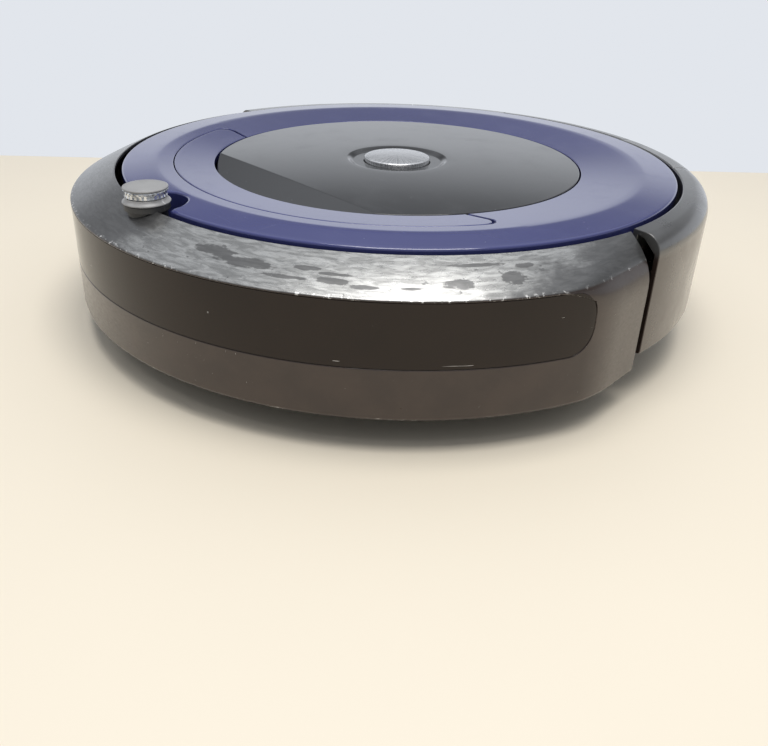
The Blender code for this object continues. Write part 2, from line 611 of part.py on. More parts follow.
# ---- chassis and what it carries ---------------------------------------------------
def build_chassis():
    profile = [(0, CHASSIS_Z), (CHASSIS_FLAT, CHASSIS_Z), (CHASSIS_RADIUS, CHASSIS_LIP_Z),
               (CHASSIS_RADIUS, CHASSIS_WALL_TOP), (CHASSIS_RADIUS - 2.2, CHASSIS_WALL_TOP),
               (CHASSIS_RADIUS - 2.2, CHASSIS_LIP_Z + 1.2), (CHASSIS_FLAT - 1, CHASSIS_Z + CHASSIS_THICK),
               (0, CHASSIS_Z + CHASSIS_THICK)]
    tray = finish_node("chassis_tray", lathe_mesh(profile, SEGMENTS, (0, RING_Y, 0)), "black_satin")
    holes = bmesh.new()
    for side in (-1, 1):
        x0, x1 = sorted((side * (ARM_X - ARM_WIDTH / 2 - 1.5), side * (WHEEL_X + WHEEL_WIDTH / 2 + 3)))
        box_mesh((x0, RING_Y - WHEEL_RADIUS - WELL_EXTRA, 0), (x1, RING_Y + WHEEL_RADIUS + 3, 60), holes)
    box_mesh((-HEAD_HALF_WIDTH - GAP, HEAD_FRONT - GAP, 0), (HEAD_HALF_WIDTH + GAP, HEAD_REAR + GAP, 60), holes)
    box_mesh((-BIN_HALF_WIDTH - 1, HEAD_REAR + 4, 0), (BIN_HALF_WIDTH + 1, 200, 60), holes)
    length, width, _ = BATTERY_SIZE
    half_x, half_y = length / 2 + COVER_MARGIN, width / 2 + COVER_MARGIN - 2
    box_mesh((-half_x, BATTERY_Y - half_y, 0), (half_x, BATTERY_Y + half_y, 60), holes)
    for side in (-1, 1):
        x, y = side * CONTACT_PLACE[0], CONTACT_PLACE[1]
        half = (CONTACT_SIZE[0] / 2 + GAP, CONTACT_SIZE[1] / 2 + GAP)
        box_mesh((x - half[0], y - half[1], 0), (x + half[0], y + half[1], 60), holes)
        for place in CLIFF_PLACES:
            x, y = side * place[0], place[1]
            half = (CLIFF_SIZE[0] / 2 + GAP, CLIFF_SIZE[1] / 2 + GAP)
            box_mesh((x - half[0], y - half[1], 0), (x + half[0], y + half[1], 60), holes)
    hole_node = cutter("chassis_openings", holes)
    caster_hole = cutter("caster_opening", cylinder(CASTER_CUP_RADIUS + 0.8, 0, 60, (0, CASTER_Y, 0)))
    brush_hole = cutter("brush_shaft_hole", cylinder(5, 0, 60, (*SIDE_BRUSH, 0), segments=16))
    inner = REAR_RADIUS - 23.0
    rear_trim = tube_mesh([[polar(inner, a, 0), polar(190, a, 0), polar(190, a, 60), polar(inner, a, 60)]
                           for a in steps(180 - BIN_HALF_ANGLE - 0.4, 180 + BIN_HALF_ANGLE + 0.4, 12)])
    rear_node = cutter("bin_face_room", rear_trim)
    ears = bmesh.new()
    for side in (-1, 1):
        for offset in EAR_OFFSETS:
            x0, x1 = sorted((side * (offset - EAR_THICK / 2), side * (offset + EAR_THICK / 2)))
            y = RING_Y - PIVOT_FORWARD
            box_mesh((x0, y - 5, CHASSIS_Z + 1), (x1, y + 5, PIVOT_Z + 6), ears)
    ear_node = cutter("arm_ears", ears)
    pin_bore = cylinder(PIVOT_PIN_RADIUS + RUN_GAP, -130, 130, (0, RING_Y - PIVOT_FORWARD, PIVOT_Z), "X", 16)
    cut(tray, ear_node, operation="UNION")
    cut(tray, hole_node, caster_hole, brush_hole, rear_node, cutter("pivot_bores", pin_bore))


def build_small_fittings():
    for side, word in ((-1, "right"), (1, "left")):
        x, y = side * CONTACT_PLACE[0], CONTACT_PLACE[1]
        sx, sy = CONTACT_SIZE
        plate = round_edges(box_mesh((x - sx / 2, y - sy / 2, CHASSIS_Z - 0.8), (x + sx / 2, y + sy / 2, CHASSIS_Z + 2)),
                            0.5)
        finish_node("contact_" + word, plate, "bright_metal")
        for place, row in zip(CLIFF_PLACES, ("front", "side")):
            cx, cy = side * place[0], place[1]
            pane = box_mesh((cx - CLIFF_SIZE[0] / 2, cy - CLIFF_SIZE[1] / 2, CHASSIS_Z + 0.2),
                            (cx + CLIFF_SIZE[0] / 2, cy + CLIFF_SIZE[1] / 2, CHASSIS_Z + 2.2))
            finish_node("cliff_window_%s_%s" % (row, word), pane, "window_brown")

    length, width, height = BATTERY_SIZE
    low = CHASSIS_Z + CHASSIS_THICK + GAP
    pack = round_edges(box_mesh((-length / 2, BATTERY_Y - width / 2, low),
                                (length / 2, BATTERY_Y + width / 2, low + height)), 2.0)
    finish_node("battery", pack, "battery_blue")
    half_x, half_y = length / 2 + COVER_MARGIN - GAP, width / 2 + COVER_MARGIN - 2 - GAP
    cover = finish_node("battery_cover", box_mesh((-half_x, BATTERY_Y - half_y, CHASSIS_Z),
                                                  (half_x, BATTERY_Y + half_y, CHASSIS_Z + CHASSIS_THICK)),
                        "black_satin")
    screw_x, screw_y = length / 2 - COVER_MARGIN, BATTERY_Y - half_y + 3.4
    for side, word in ((-1, "right"), (1, "left")):
        hole = cylinder(2.9, 0, 60, (side * screw_x, screw_y, 0), segments=16)
        cut(cover, cutter("screw_hole_" + word, hole))
        screw = lathe_mesh([(0, CHASSIS_Z + 0.2), (2.5, CHASSIS_Z + 0.2), (2.5, CHASSIS_Z + 1.6), (1.3, CHASSIS_Z + 2.0),
                            (1.3, CHASSIS_Z + 2.4), (0, CHASSIS_Z + 2.4)], 12, (side * screw_x, screw_y, 0))
        finish_node("cover_screw_" + word, screw, "steel")

    board = box_mesh((-66, -104, 56.5), (66, -62, 58.1))
    finish_node("main_board", board, "board_green")
    panel = finish_node("ui_board", box_mesh((-30, RING_Y - 22, DECK_Z + 1.5), (30, RING_Y + 22, DECK_Z + 3.1)),
                        "board_green")
    switch = cutter("press_switch", box_mesh((-3, RING_Y - 3, DECK_Z + 2), (3, RING_Y + 3, 74.0 - BUTTON_TRAVEL - 0.3)))
    cut(panel, switch, operation="UNION")

    for side, word in ((-1, "right"), (1, "left")):
        a = 32 * side
        spin = Matrix.Translation((0, RING_Y, 0)) @ Matrix.Rotation(math.radians(a), 4, "Z")
        block = bmesh.new()
        bmesh.ops.create_cube(block, size=1,
                              matrix=spin @ Matrix.Translation((0, -154, 27)) @ Matrix.Diagonal((12, 7, 9, 1)))
        finish_node("bump_switch_" + word, block, "black_satin")
        leaf = []
        for reach in (CHASSIS_RADIUS + 3.4, CHASSIS_RADIUS + 4.2):
            bow = [polar(reach + 2.4 * abs(t), (15 + 6 * t) * side, 0) for t in steps(-1, 1, 6)]
            leaf.append(bow)
        strip = [[(*leaf[0][i][:2], 24), (*leaf[1][i][:2], 24), (*leaf[1][i][:2], 31), (*leaf[0][i][:2], 31)]
                 for i in range(7)]
        finish_node("bumper_spring_" + word, tube_mesh(strip), "steel")


def build_wheels():
    y_axle = RING_Y
    y_pivot = RING_Y - PIVOT_FORWARD
    for side, word in ((-1, "right"), (1, "left")):
        def span(a, b, side=side):
            return sorted((side * a, side * b))

        x0, x1 = span(ARM_X - ARM_WIDTH / 2, ARM_X + ARM_WIDTH / 2)
        outline = []
        big, small = HUB_BIG, HUB_SMALL
        dy, dz = y_pivot - y_axle, PIVOT_Z - WHEEL_RADIUS
        heading = math.degrees(math.atan2(dz, dy))
        lean = math.degrees(math.acos((big - small) / math.hypot(dy, dz)))
        for a in steps(heading + lean, heading - lean + 360, 10):
            outline.append((y_axle + big * math.cos(math.radians(a)), WHEEL_RADIUS + big * math.sin(math.radians(a))))
        for a in steps(heading - lean, heading + lean, 6):
            outline.append((y_pivot + small * math.cos(math.radians(a)), PIVOT_Z + small * math.sin(math.radians(a))))
        arm = finish_node(word + "_wheel_arm", tube_mesh([[(x, y, z) for y, z in outline] for x in (x0, x1)]),
                          "black_satin")
        pivot_bore = cylinder(PIVOT_PIN_RADIUS + RUN_GAP, -130, 130, (0, y_pivot, PIVOT_Z), "X", 16)
        axle_bore = cylinder(AXLE_RADIUS + RUN_GAP, -130, 130, (0, y_axle, WHEEL_RADIUS), "X", 16)
        cut(arm, cutter(word + "_pivot_bore", pivot_bore), cutter(word + "_axle_bore", axle_bore))

        def rod(radius, a, b, y, z, segments=16, bore=0.0):
            low, high = span(a, b)
            return cylinder(radius, low, high, (0, y, z), "X", segments, bore)

        inboard = ARM_X - ARM_WIDTH / 2 + 0.5
        pin = rod(PIVOT_PIN_RADIUS, EAR_OFFSETS[0] - 2, EAR_OFFSETS[1] + 2, y_pivot, PIVOT_Z)
        finish_node(word + "_pivot_pin", pin, "steel")
        axle = rod(AXLE_RADIUS, inboard, WHEEL_X + WHEEL_WIDTH / 2 - 1, y_axle, WHEEL_RADIUS)
        finish_node(word + "_wheel_axle", axle, "steel")
        hub_radius = WHEEL_RADIUS - TYRE_THICK
        hub = rod(hub_radius, WHEEL_X - WHEEL_WIDTH / 2, WHEEL_X + WHEEL_WIDTH / 2 - 2, y_axle, WHEEL_RADIUS, 24,
                  AXLE_RADIUS + 0.05)
        finish_node(word + "_wheel_hub", hub, "warm_grey")
        rubber = []
        near, far = span(WHEEL_X - WHEEL_WIDTH / 2 + 0.5, WHEEL_X + WHEEL_WIDTH / 2 - 0.5)
        for i in range(40):
            a = 2 * math.pi * i / 40
            grip = WHEEL_RADIUS - (1.4 if i % 4 in (2, 3) else 0.0)
            ring = []
            for x, radius in ((near, hub_radius + GAP), (near, grip), (far, grip), (far, hub_radius + GAP)):
                ring.append((x, y_axle + radius * math.sin(a), WHEEL_RADIUS - radius * math.cos(a)))
            rubber.append(ring)
        finish_node(word + "_tyre", tube_mesh(rubber, closed=True), "rubber")
        motor = rod(WHEEL_MOTOR_RADIUS, 60, ARM_X - ARM_WIDTH / 2 - 7.0, y_pivot + 6, PIVOT_Z - 2, 20)
        finish_node(word + "_wheel_motor", motor, "steel")

        coil = bpy.data.curves.new(word + "_suspension_spring", "CURVE")
        coil.dimensions = "3D"
        coil.bevel_depth = 0.7 * MM
        coil.bevel_resolution = 0
        coil.use_fill_caps = True
        turns, per_turn = 3, 9
        path = coil.splines.new("POLY")
        path.points.add(turns * per_turn)
        start, stop = ARM_X + ARM_WIDTH / 2 + 1.5, ARM_X + ARM_WIDTH / 2 + 6.5
        for i, point in enumerate(path.points):
            t = i / (turns * per_turn)
            a = 2 * math.pi * turns * t
            point.co = (side * (start + (stop - start) * t) * MM, (y_pivot + 5.2 * math.cos(a)) * MM,
                        (PIVOT_Z + 5.2 * math.sin(a)) * MM, 1)
        spring = bpy.data.objects.new(word + "_suspension_spring", coil)
        coil.materials.append(make_material(word + "_suspension_spring", *FINISHES["steel"]))
        bpy.context.scene.collection.objects.link(spring)


def build_caster():
    top = 2 * CASTER_WHEEL_RADIUS + 1.6
    cup = CASTER_CUP_RADIUS
    low = CHASSIS_Z + CHASSIS_THICK + GAP
    stem = 4.0
    housing = lathe_mesh([(cup + 0.6, low), (cup + 4.5, low), (cup + 4.5, low + 1.8), (cup + 2.8, low + 1.8),
                          (cup + 2.8, top + 5.5), (stem + RUN_GAP, top + 5.5), (stem + RUN_GAP, top + 3.2),
                          (cup + 0.6, top + 3.2)], 20, (0, CASTER_Y, 0))
    finish_node("caster_housing", housing, "black_satin")
    fork = lathe_mesh([(cup - 2, 10.5), (cup, 10.5), (cup, top + 2.6), (stem, top + 2.6), (stem, top + 9), (0, top + 9),
                       (0, top + 0.6), (cup - 2, top + 0.6)], 20, (0, CASTER_Y, 0))
    fork_node = finish_node("caster_fork", fork, "warm_grey")
    axle_y = CASTER_Y + CASTER_TRAIL
    cheeks = bmesh.new()
    for side in (-1, 1):
        x0, x1 = sorted((side * (CASTER_WHEEL_WIDTH / 2 + 0.6), side * (CASTER_WHEEL_WIDTH / 2 + 5.4)))
        box_mesh((x0, axle_y - 5, 10.5), (x1, axle_y + 5, top + 1), cheeks)
    bore = cylinder(2.0 + RUN_GAP, -CASTER_WHEEL_WIDTH / 2 - 4.5, CASTER_WHEEL_WIDTH / 2 + 4.5,
                    (0, axle_y, CASTER_WHEEL_RADIUS), "X", 12)
    cut(fork_node, cutter("caster_cheeks", cheeks), operation="UNION")
    cut(fork_node, cutter("caster_bore", bore))
    half = CASTER_WHEEL_WIDTH / 2
    axle = cylinder(2.0, -half - 4.0, half + 4.0, (0, axle_y, CASTER_WHEEL_RADIUS), "X", 12)
    finish_node("caster_axle", axle, "steel")
    wheel = lathe_mesh([(2.0 + RUN_GAP, -half), (CASTER_WHEEL_RADIUS - 1.5, -half), (CASTER_WHEEL_RADIUS, -half + 2),
                        (CASTER_WHEEL_RADIUS, half - 2), (CASTER_WHEEL_RADIUS - 1.5, half), (2.0 + RUN_GAP, half)],
                       20, (0, axle_y, CASTER_WHEEL_RADIUS), "X")
    finish_node("caster_wheel", wheel, "rubber")


def build_cleaning_head():
    w, top = HEAD_HALF_WIDTH, HEAD_TOP
    low = CHASSIS_Z + CHASSIS_THICK
    block = finish_node("brush_housing", box_mesh((-w, HEAD_FRONT, low), (w, HEAD_REAR, top)), "black_satin")
    inner_x = ROLLER_LENGTH / 2 + 1.5
    tunnel = cutter("tunnel", box_mesh((-inner_x, HEAD_FRONT + HEAD_WALL, 0), (inner_x, HEAD_REAR - HEAD_WALL, 39.5)))
    gear_room = cutter("gear_room", box_mesh((-w + HEAD_WALL, HEAD_FRONT + 6, 0), (-inner_x - 1.5, HEAD_REAR - 6, 39.5)))
    throat = cutter("throat", box_mesh((-70, HEAD_REAR - 10, 22), (70, HEAD_REAR + 5, 37)))
    stub_bores = cutter("stub_bores_front",
                        cylinder(4 + RUN_GAP, -w + HEAD_WALL + 0.5, w - HEAD_WALL, (0, FRONT_ROLLER_Y, ROLLER_Z), "X", 16))
    stub_bores_rear = cutter("stub_bores_rear",
                             cylinder(4 + RUN_GAP, -w + HEAD_WALL + 0.5, w - HEAD_WALL, (0, REAR_ROLLER_Y, ROLLER_Z),
                                      "X", 16))
    cut(block, tunnel, gear_room, throat, stub_bores, stub_bores_rear)
    gearbox = box_mesh((-w + HEAD_WALL + 0.4, HEAD_FRONT + 6.5, 26.5), (-inner_x - 2.0, HEAD_REAR - 6.5, 39.0))
    finish_node("brush_gearbox", round_edges(gearbox, 1.0), "warm_grey")
    motor = cylinder(9.0, -70, -16, (0, 46, top + GAP + 9.2), "X", 20)
    finish_node("brush_motor", motor, "steel")

    for name, y, finish, flutes, phase in (("front_roller", FRONT_ROLLER_Y, "roller_green", 8, 0.0),
                                           ("rear_roller", REAR_ROLLER_Y, "roller_green", 8, 0.5)):
        rings = []
        half = ROLLER_LENGTH / 2
        for x in steps(-half, half, 6):
            twist = abs(x) / half * 0.7
            ring = []
            for i in range(flutes * 2):
                a = 2 * math.pi * (i + phase * 2) / (flutes * 2) + twist
                radius = ROLLER_RADIUS if i % 2 == 0 else ROLLER_RADIUS - 3.0
                ring.append((x, y + radius * math.cos(a), ROLLER_Z + radius * math.sin(a)))
            rings.append(ring)
        roller = finish_node(name, tube_mesh(rings), finish)
        shaft = cylinder(4.0, -w + HEAD_WALL + 1.2, w - HEAD_WALL - 0.6, (0, y, ROLLER_Z), "X", 12)
        cut(roller, cutter(name + "_shaft", shaft), operation="UNION")

    z0, z1 = FRAME_BOTTOM, FRAME_BOTTOM + FRAME_THICK
    frame = finish_node("roller_frame", round_edges(box_mesh((-w, HEAD_FRONT, z0), (w, HEAD_REAR + 1.5, z1)), 0.6),
                        "warm_grey")
    hole = box_mesh((-ROLLER_LENGTH / 2 - 1.5, FRONT_ROLLER_Y - ROLLER_RADIUS - 1.0, 0),
                    (ROLLER_LENGTH / 2 + 1.5, REAR_ROLLER_Y + ROLLER_RADIUS + 1.0, 60))
    cut(frame, cutter("frame_opening", hole))


def build_side_brush():
    cx, cy = SIDE_BRUSH
    motor = cylinder(12.0, CHASSIS_Z + CHASSIS_THICK + GAP, 40, (cx, cy, 0), segments=20, bore=3.4)
    finish_node("side_brush_motor", motor, "steel")
    hub = lathe_mesh([(0, 5.0), (8.0, 5.0), (9.5, 6.5), (9.5, 10.0), (3.0, 10.0), (3.0, 20), (0, 20)], 24, (cx, cy, 0))
    brush = finish_node("side_brush", hub, "black_satin")
    arms = bmesh.new()
    for i in range(3):
        spin = Matrix.Translation((cx, cy, 0)) @ Matrix.Rotation(math.radians(30 + 120 * i), 4, "Z")
        near = bmesh.ops.create_cube(arms, size=1)["verts"]
        for vert in near:
            x = 4.0 if vert.co.x < 0 else SIDE_BRUSH_REACH
            wide = 3.0 if vert.co.x < 0 else 6.0
            z = (6.2 if vert.co.x < 0 else 1.2) if vert.co.z < 0 else (8.4 if vert.co.x < 0 else 3.0)
            vert.co = spin @ Vector((x, math.copysign(wide, vert.co.y), z))
    cut(brush, cutter("brush_arms", arms), operation="UNION")


def build_bin():
    w = BIN_HALF_WIDTH
    lid = 150.0
    body = finish_node("bin_body", box_mesh((-w, BIN_FRONT, BIN_BOTTOM), (w, 136.0, BIN_TOP)), "bin_smoke")
    half = BIN_HALF_ANGLE - 0.15
    r = REAR_RADIUS

    face = []
    for a in steps(180 - half, 180 + half, 14):
        f = REAR_FILLET
        outer = [(RIM_INNER, RIM_Z)]
        outer += [(r - f + f * math.sin(math.radians(t)), RIM_Z - SHOULDER_DROP - f + f * math.cos(math.radians(t)))
                  for t in (8, 36, 64, 90)]
        outer += [(r, REAR_BOTTOM + 1.2), (r - 1.2, REAR_BOTTOM), (r - 18.0, BIN_BOTTOM + 0.6),
                  (r - 22.0, BIN_BOTTOM + 0.6), (r - 22.0, 59.0), (RIM_INNER, 64.0)]
        face.append([rim_polar(radius, a, z) for radius, z in outer])
    face_node = cutter("bin_face", tube_mesh(face))
    tail_plan = [(-w + 3, 110.0), (w - 3, 110.0)]
    tail_plan += [polar(r - 20.5, 180 + a, 0, REAR_SHIFT)[:2] for a in steps(-41.0, 41.0, 14)]
    filler = tube_mesh([[(x, y, z) for x, y in tail_plan] for z in (BIN_BOTTOM + 0.3, BIN_TOP - 1)])
    filler_node = cutter("bin_tail", filler)
    cut(body, face_node, filler_node, operation="UNION")
    t = BIN_WALL
    hollow = box_mesh((-w + t, BIN_FRONT + t, BIN_BOTTOM + t), (w - t, lid - 8, BIN_TOP - t))
    mouth = box_mesh((-78, BIN_FRONT - 3, BIN_BOTTOM + 4), (78, BIN_FRONT + 6, BIN_TOP - 6))
    ledge, low, high = RIM_INNER + 1.6, RIM_Z - 6, RIM_Z + 6
    trim = tube_mesh([[rim_polar(ledge, a, low), rim_polar(190, a, low), rim_polar(190, a, high),
                       rim_polar(ledge, a, high)]
                      for a in steps(180 - RELEASE_HALF_ANGLE, 180 + RELEASE_HALF_ANGLE, 12)])
    cut(body, cutter("bin_hollow", hollow), cutter("bin_mouth", mouth), cutter("release_pocket", trim))

    door = finish_node("bin_door", box_mesh((-90, BIN_FRONT - 2.3, BIN_BOTTOM + 1), (90, BIN_FRONT - 0.3, BIN_TOP - 1)),
                       "bin_smoke")
    inlet = box_mesh((-70, BIN_FRONT - 6, 20), (70, BIN_FRONT + 4, 37))
    outlet = box_mesh((-60, BIN_FRONT - 6, 42), (10, BIN_FRONT + 4, 56))
    cut(door, cutter("bin_inlet", inlet), cutter("bin_outlet", outlet))
    pleats = []
    for i in range(25):
        x = -64 + i * 3.2
        pleats.append((x, BIN_FRONT + (3.0 if i % 2 else 7.5)))
    outline = pleats + [(pleats[-1][0], BIN_FRONT + 14), (pleats[0][0], BIN_FRONT + 14)]
    paper = tube_mesh([[(x, y, z) for x, y in outline] for z in (41.0, 57.0)])
    finish_node("bin_filter", paper, "filter_white")
    fan = cylinder(17.0, 36.0, 58.5, (72, 122, 0), segments=24)
    finish_node("bin_fan", fan, "black_satin")

    gap = 0.5
    half = RELEASE_HALF_ANGLE - gap / 150 * 57.3
    press = []
    for a in steps(180 - half, 180 + half, 12):
        f = REAR_FILLET
        points = [(RIM_INNER + 1.6 + gap, RIM_Z - 0.1)]
        points += [(r - f + f * math.sin(math.radians(t)), RIM_Z - SHOULDER_DROP - f + f * math.cos(math.radians(t)))
                   for t in (8, 36)]
        points += [(r - 3.6, RIM_Z - 3.6), (RIM_INNER + 1.6 + gap, RIM_Z - 3.6)]
        press.append([rim_polar(radius, a, z) for radius, z in points])
    finish_node("bin_release", tube_mesh(press), "warm_grey")


def main():
    for node in list(bpy.data.objects):
        bpy.data.objects.remove(node)
    build_chassis()
    build_upper_shell()
    build_ring()
    build_disc()
    build_button()
    build_handle()
    build_bumper()
    build_knob()
    build_small_fittings()
    build_wheels()
    build_caster()
    build_cleaning_head()
    build_side_brush()
    build_bin()


main()
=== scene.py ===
import json
import math

import bmesh
import bpy
import numpy as np
from mathutils import Matrix, Vector


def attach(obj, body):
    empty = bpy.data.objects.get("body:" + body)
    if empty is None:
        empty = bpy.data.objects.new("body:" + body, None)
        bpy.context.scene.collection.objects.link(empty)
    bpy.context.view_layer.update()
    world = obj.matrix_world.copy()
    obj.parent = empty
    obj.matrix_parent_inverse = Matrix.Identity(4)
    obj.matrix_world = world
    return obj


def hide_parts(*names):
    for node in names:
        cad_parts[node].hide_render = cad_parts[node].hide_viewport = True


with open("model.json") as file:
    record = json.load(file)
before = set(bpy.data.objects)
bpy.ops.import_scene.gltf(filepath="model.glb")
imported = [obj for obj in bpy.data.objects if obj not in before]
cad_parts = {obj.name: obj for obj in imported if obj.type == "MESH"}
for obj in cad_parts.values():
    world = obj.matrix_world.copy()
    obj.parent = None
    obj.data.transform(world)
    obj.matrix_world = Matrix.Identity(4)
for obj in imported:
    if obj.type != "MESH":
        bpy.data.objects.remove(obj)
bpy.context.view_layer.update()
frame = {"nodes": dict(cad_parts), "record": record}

mm = 0.001
ringY = 6.0  # y of the axis that ring, disc and button share, in mm like every size below
pi = math.pi


# shapes: rows of points worked out as whole arrays, then skinned
def around(radius, degrees, z, forward=0.0):
    # a point at an angle from the front: x = r sin a, y = ringY - forward - r cos a
    a = np.radians(degrees)
    x, y, z = np.broadcast_arrays(radius * np.sin(a), ringY - forward - radius * np.cos(a), z)
    return np.stack([x, y, z], axis=-1)


def soften(outline, reach, steps=5):
    # each corner becomes a curve (1-t)^2 start + 2t(1-t) corner + t^2 end that leaves the sides at reach
    outline = np.asarray(outline, float)
    before, after = np.roll(outline, 1, axis=-2), np.roll(outline, -1, axis=-2)
    t = np.linspace(0, 1, steps + 1)[:, None]
    parts = []
    for i in range(outline.shape[-2]):
        corner = outline[..., i:i + 1, :]
        if reach[i] <= 0:
            parts.append(corner)
            continue
        back, ahead = before[..., i:i + 1, :] - corner, after[..., i:i + 1, :] - corner
        backLong = np.linalg.norm(back, axis=-1, keepdims=True)
        aheadLong = np.linalg.norm(ahead, axis=-1, keepdims=True)
        start = corner + back * np.minimum(reach[i] / backLong, 0.48)
        end = corner + ahead * np.minimum(reach[i] / aheadLong, 0.48)
        parts.append((1 - t) ** 2 * start + 2 * t * (1 - t) * corner + t ** 2 * end)
    return np.concatenate(parts, axis=-2)


def skin(rows, alongClosed=False, aroundClosed=True, capStart=True, capEnd=True):
    # rows (n, k, 3) of equal loops joined with quads, flat caps on open ends; gives points and faces
    rows = np.asarray(rows, float)
    n, k = rows.shape[:2]
    index = np.arange(n * k).reshape(n, k)
    down = np.roll(index, -1, axis=0) if alongClosed else index[1:]
    here = index if alongClosed else index[:-1]
    if aroundClosed:
        quads = np.stack([here, np.roll(here, -1, axis=1), np.roll(down, -1, axis=1), down], axis=-1)
    else:
        quads = np.stack([here[:, :-1], here[:, 1:], down[:, 1:], down[:, :-1]], axis=-1)
    faces = quads.reshape(-1, 4).tolist()
    if not alongClosed and aroundClosed:
        if capStart:
            faces.append(index[0, ::-1].tolist())
        if capEnd:
            faces.append(index[-1].tolist())
    return rows.reshape(-1, 3), faces


def join(*shells):
    # several closed shells held in one mesh
    points, faces, base = [], [], 0
    for somePoints, someFaces in shells:
        points.append(somePoints)
        faces += [[i + base for i in face] for face in someFaces]
        base += len(somePoints)
    return np.concatenate(points), faces


def makePiece(name, shell, finish=None, body=None, nodes=(), slot=None, sharp=38, bevel=0.0, bevelSteps=2, weld=0.004,
              weighted=True, fromFlat=False):
    points, faces = shell
    mesh = bpy.data.meshes.new(name)
    mesh.from_pydata((points * mm).tolist(), [], faces)
    tidy = bmesh.new()
    tidy.from_mesh(mesh)
    bmesh.ops.remove_doubles(tidy, verts=tidy.verts, dist=weld * mm)
    bmesh.ops.dissolve_degenerate(tidy, edges=tidy.edges, dist=weld * mm)
    if fromFlat:  # triangles that lie in one plane become one face again
        bmesh.ops.dissolve_limit(tidy, angle_limit=math.radians(1), verts=tidy.verts, edges=tidy.edges)
    bmesh.ops.recalc_face_normals(tidy, faces=tidy.faces)
    tidy.to_mesh(mesh)
    tidy.free()
    piece = bpy.data.objects.new(name, mesh)
    bpy.context.scene.collection.objects.link(piece)
    if body is None:  # a tool for carving
        return piece
    return dress(piece, finish, body, nodes, sharp, bevel, bevelSteps, weighted, fromFlat)


def dress(piece, finish, body, nodes=(), sharp=38, bevel=0.0, bevelSteps=2, weighted=True, clamp=False):
    mesh = piece.data
    mesh.shade_smooth()
    mesh.set_sharp_from_angle(angle=math.radians(sharp))
    mesh.materials.clear()
    mesh.materials.append(finish)
    if bevel > 0:
        rounding = piece.modifiers.new("edges", "BEVEL")
        rounding.width = bevel * mm
        rounding.segments = bevelSteps
        rounding.limit_method = "ANGLE"
        rounding.angle_limit = math.radians(sharp)
        rounding.use_clamp_overlap = clamp
    if weighted:
        even = piece.modifiers.new("shading", "WEIGHTED_NORMAL")
        even.keep_sharp = True
        even.weight = 60
    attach(piece, body)
    if nodes:
        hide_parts(*nodes)
    return piece


def carve(piece, *shells, join=False):
    # takes each closed shell out of the piece (or adds it) and keeps the result as its mesh
    tools = [makePiece("tool", shell) for shell in shells]
    for tool in tools:
        step = piece.modifiers.new("cut", "BOOLEAN")
        step.operation = "UNION" if join else "DIFFERENCE"
        step.solver = "EXACT"
        step.object = tool
    bpy.context.view_layer.update()
    result = bpy.data.meshes.new_from_object(piece.evaluated_get(bpy.context.evaluated_depsgraph_get()))
    piece.modifiers.clear()
    piece.data = result
    for tool in tools:
        bpy.data.objects.remove(tool)
    return piece


def lathe(profile, reach=0.0, count=96, centre=(0, 0, 0), axis="Z", steps=4):
    # a closed (radius, height) outline turned about an axis; corners softened; radius 0 closes on the axis
    profile = np.asarray(profile, float)
    reaches = np.broadcast_to(reach, (len(profile),)).copy()
    reaches[profile[:, 0] < 1e-6] = 0
    outline = soften(profile, reaches, steps)
    a = np.linspace(0, 2 * pi, count, endpoint=False)[:, None]
    r, h = outline[None, :, 0], outline[None, :, 1]
    u, v, w = np.broadcast_arrays(r * np.cos(a), r * np.sin(a), h + 0 * a)
    order = {"Z": (u, v, w), "X": (w, u, v), "Y": (v, w, u)}[axis]
    return skin(np.stack(order, axis=-1) + np.asarray(centre, float), alongClosed=True)


def loopBox(low, high, radius, z, count=6):
    # a rounded rectangle outline in plan at height z
    (x0, y0), (x1, y1) = low, high
    corners = np.array([[x1, y1], [x0, y1], [x0, y0], [x1, y0]], float)
    inward = np.array([[-1, -1], [1, -1], [1, 1], [-1, 1]], float)
    t = np.linspace(0, pi / 2, count + 1)
    turned = np.array([0, pi / 2, pi, 1.5 * pi])[:, None] + t[None, :]
    xy = (corners + inward * radius)[:, None, :] + radius * np.stack([np.cos(turned), np.sin(turned)], axis=-1)
    xy = xy.reshape(-1, 2)
    return np.concatenate([xy, np.full((len(xy), 1), float(z))], axis=1)


def block(low, high, radius=0.5, edge=0.3, turn=None):
    # a box with rounded upright corners and softened top and bottom edges
    (x0, y0, z0), (x1, y1, z1) = low, high
    rows = []
    for inset, z in ((edge, z0), (0, z0 + edge), (0, z1 - edge), (edge, z1)):
        rows.append(loopBox((x0 + inset, y0 + inset), (x1 - inset, y1 - inset), max(radius - inset, 0.05), z))
    rows = np.array(rows)
    if turn is not None:  # turned about the ring axis by this many degrees
        c, s = math.cos(math.radians(turn)), math.sin(math.radians(turn))
        x, y = rows[..., 0].copy(), rows[..., 1] - ringY
        rows[..., 0], rows[..., 1] = c * x - s * y, ringY + s * x + c * y
    return skin(rows)


def rod(path, radius, sides=6):
    # a thin round tube along a smooth path of points, its ends closed
    path = np.asarray(path, float)
    ahead = np.gradient(path, axis=0)
    ahead /= np.linalg.norm(ahead, axis=1, keepdims=True)
    helper = np.array([0.0, 0.0, 1.0]) if abs(ahead[:, 2]).max() < 0.9 else np.array([1.0, 0.0, 0.0])
    side = np.cross(ahead, helper)
    side /= np.linalg.norm(side, axis=1, keepdims=True)
    up = np.cross(side, ahead)
    a = np.linspace(0, 2 * pi, sides, endpoint=False)
    radius = np.broadcast_to(radius, (len(path),))[:, None, None]
    c, s = np.cos(a)[None, :, None], np.sin(a)[None, :, None]
    return skin(path[:, None, :] + radius * (c * side[:, None, :] + s * up[:, None, :]))


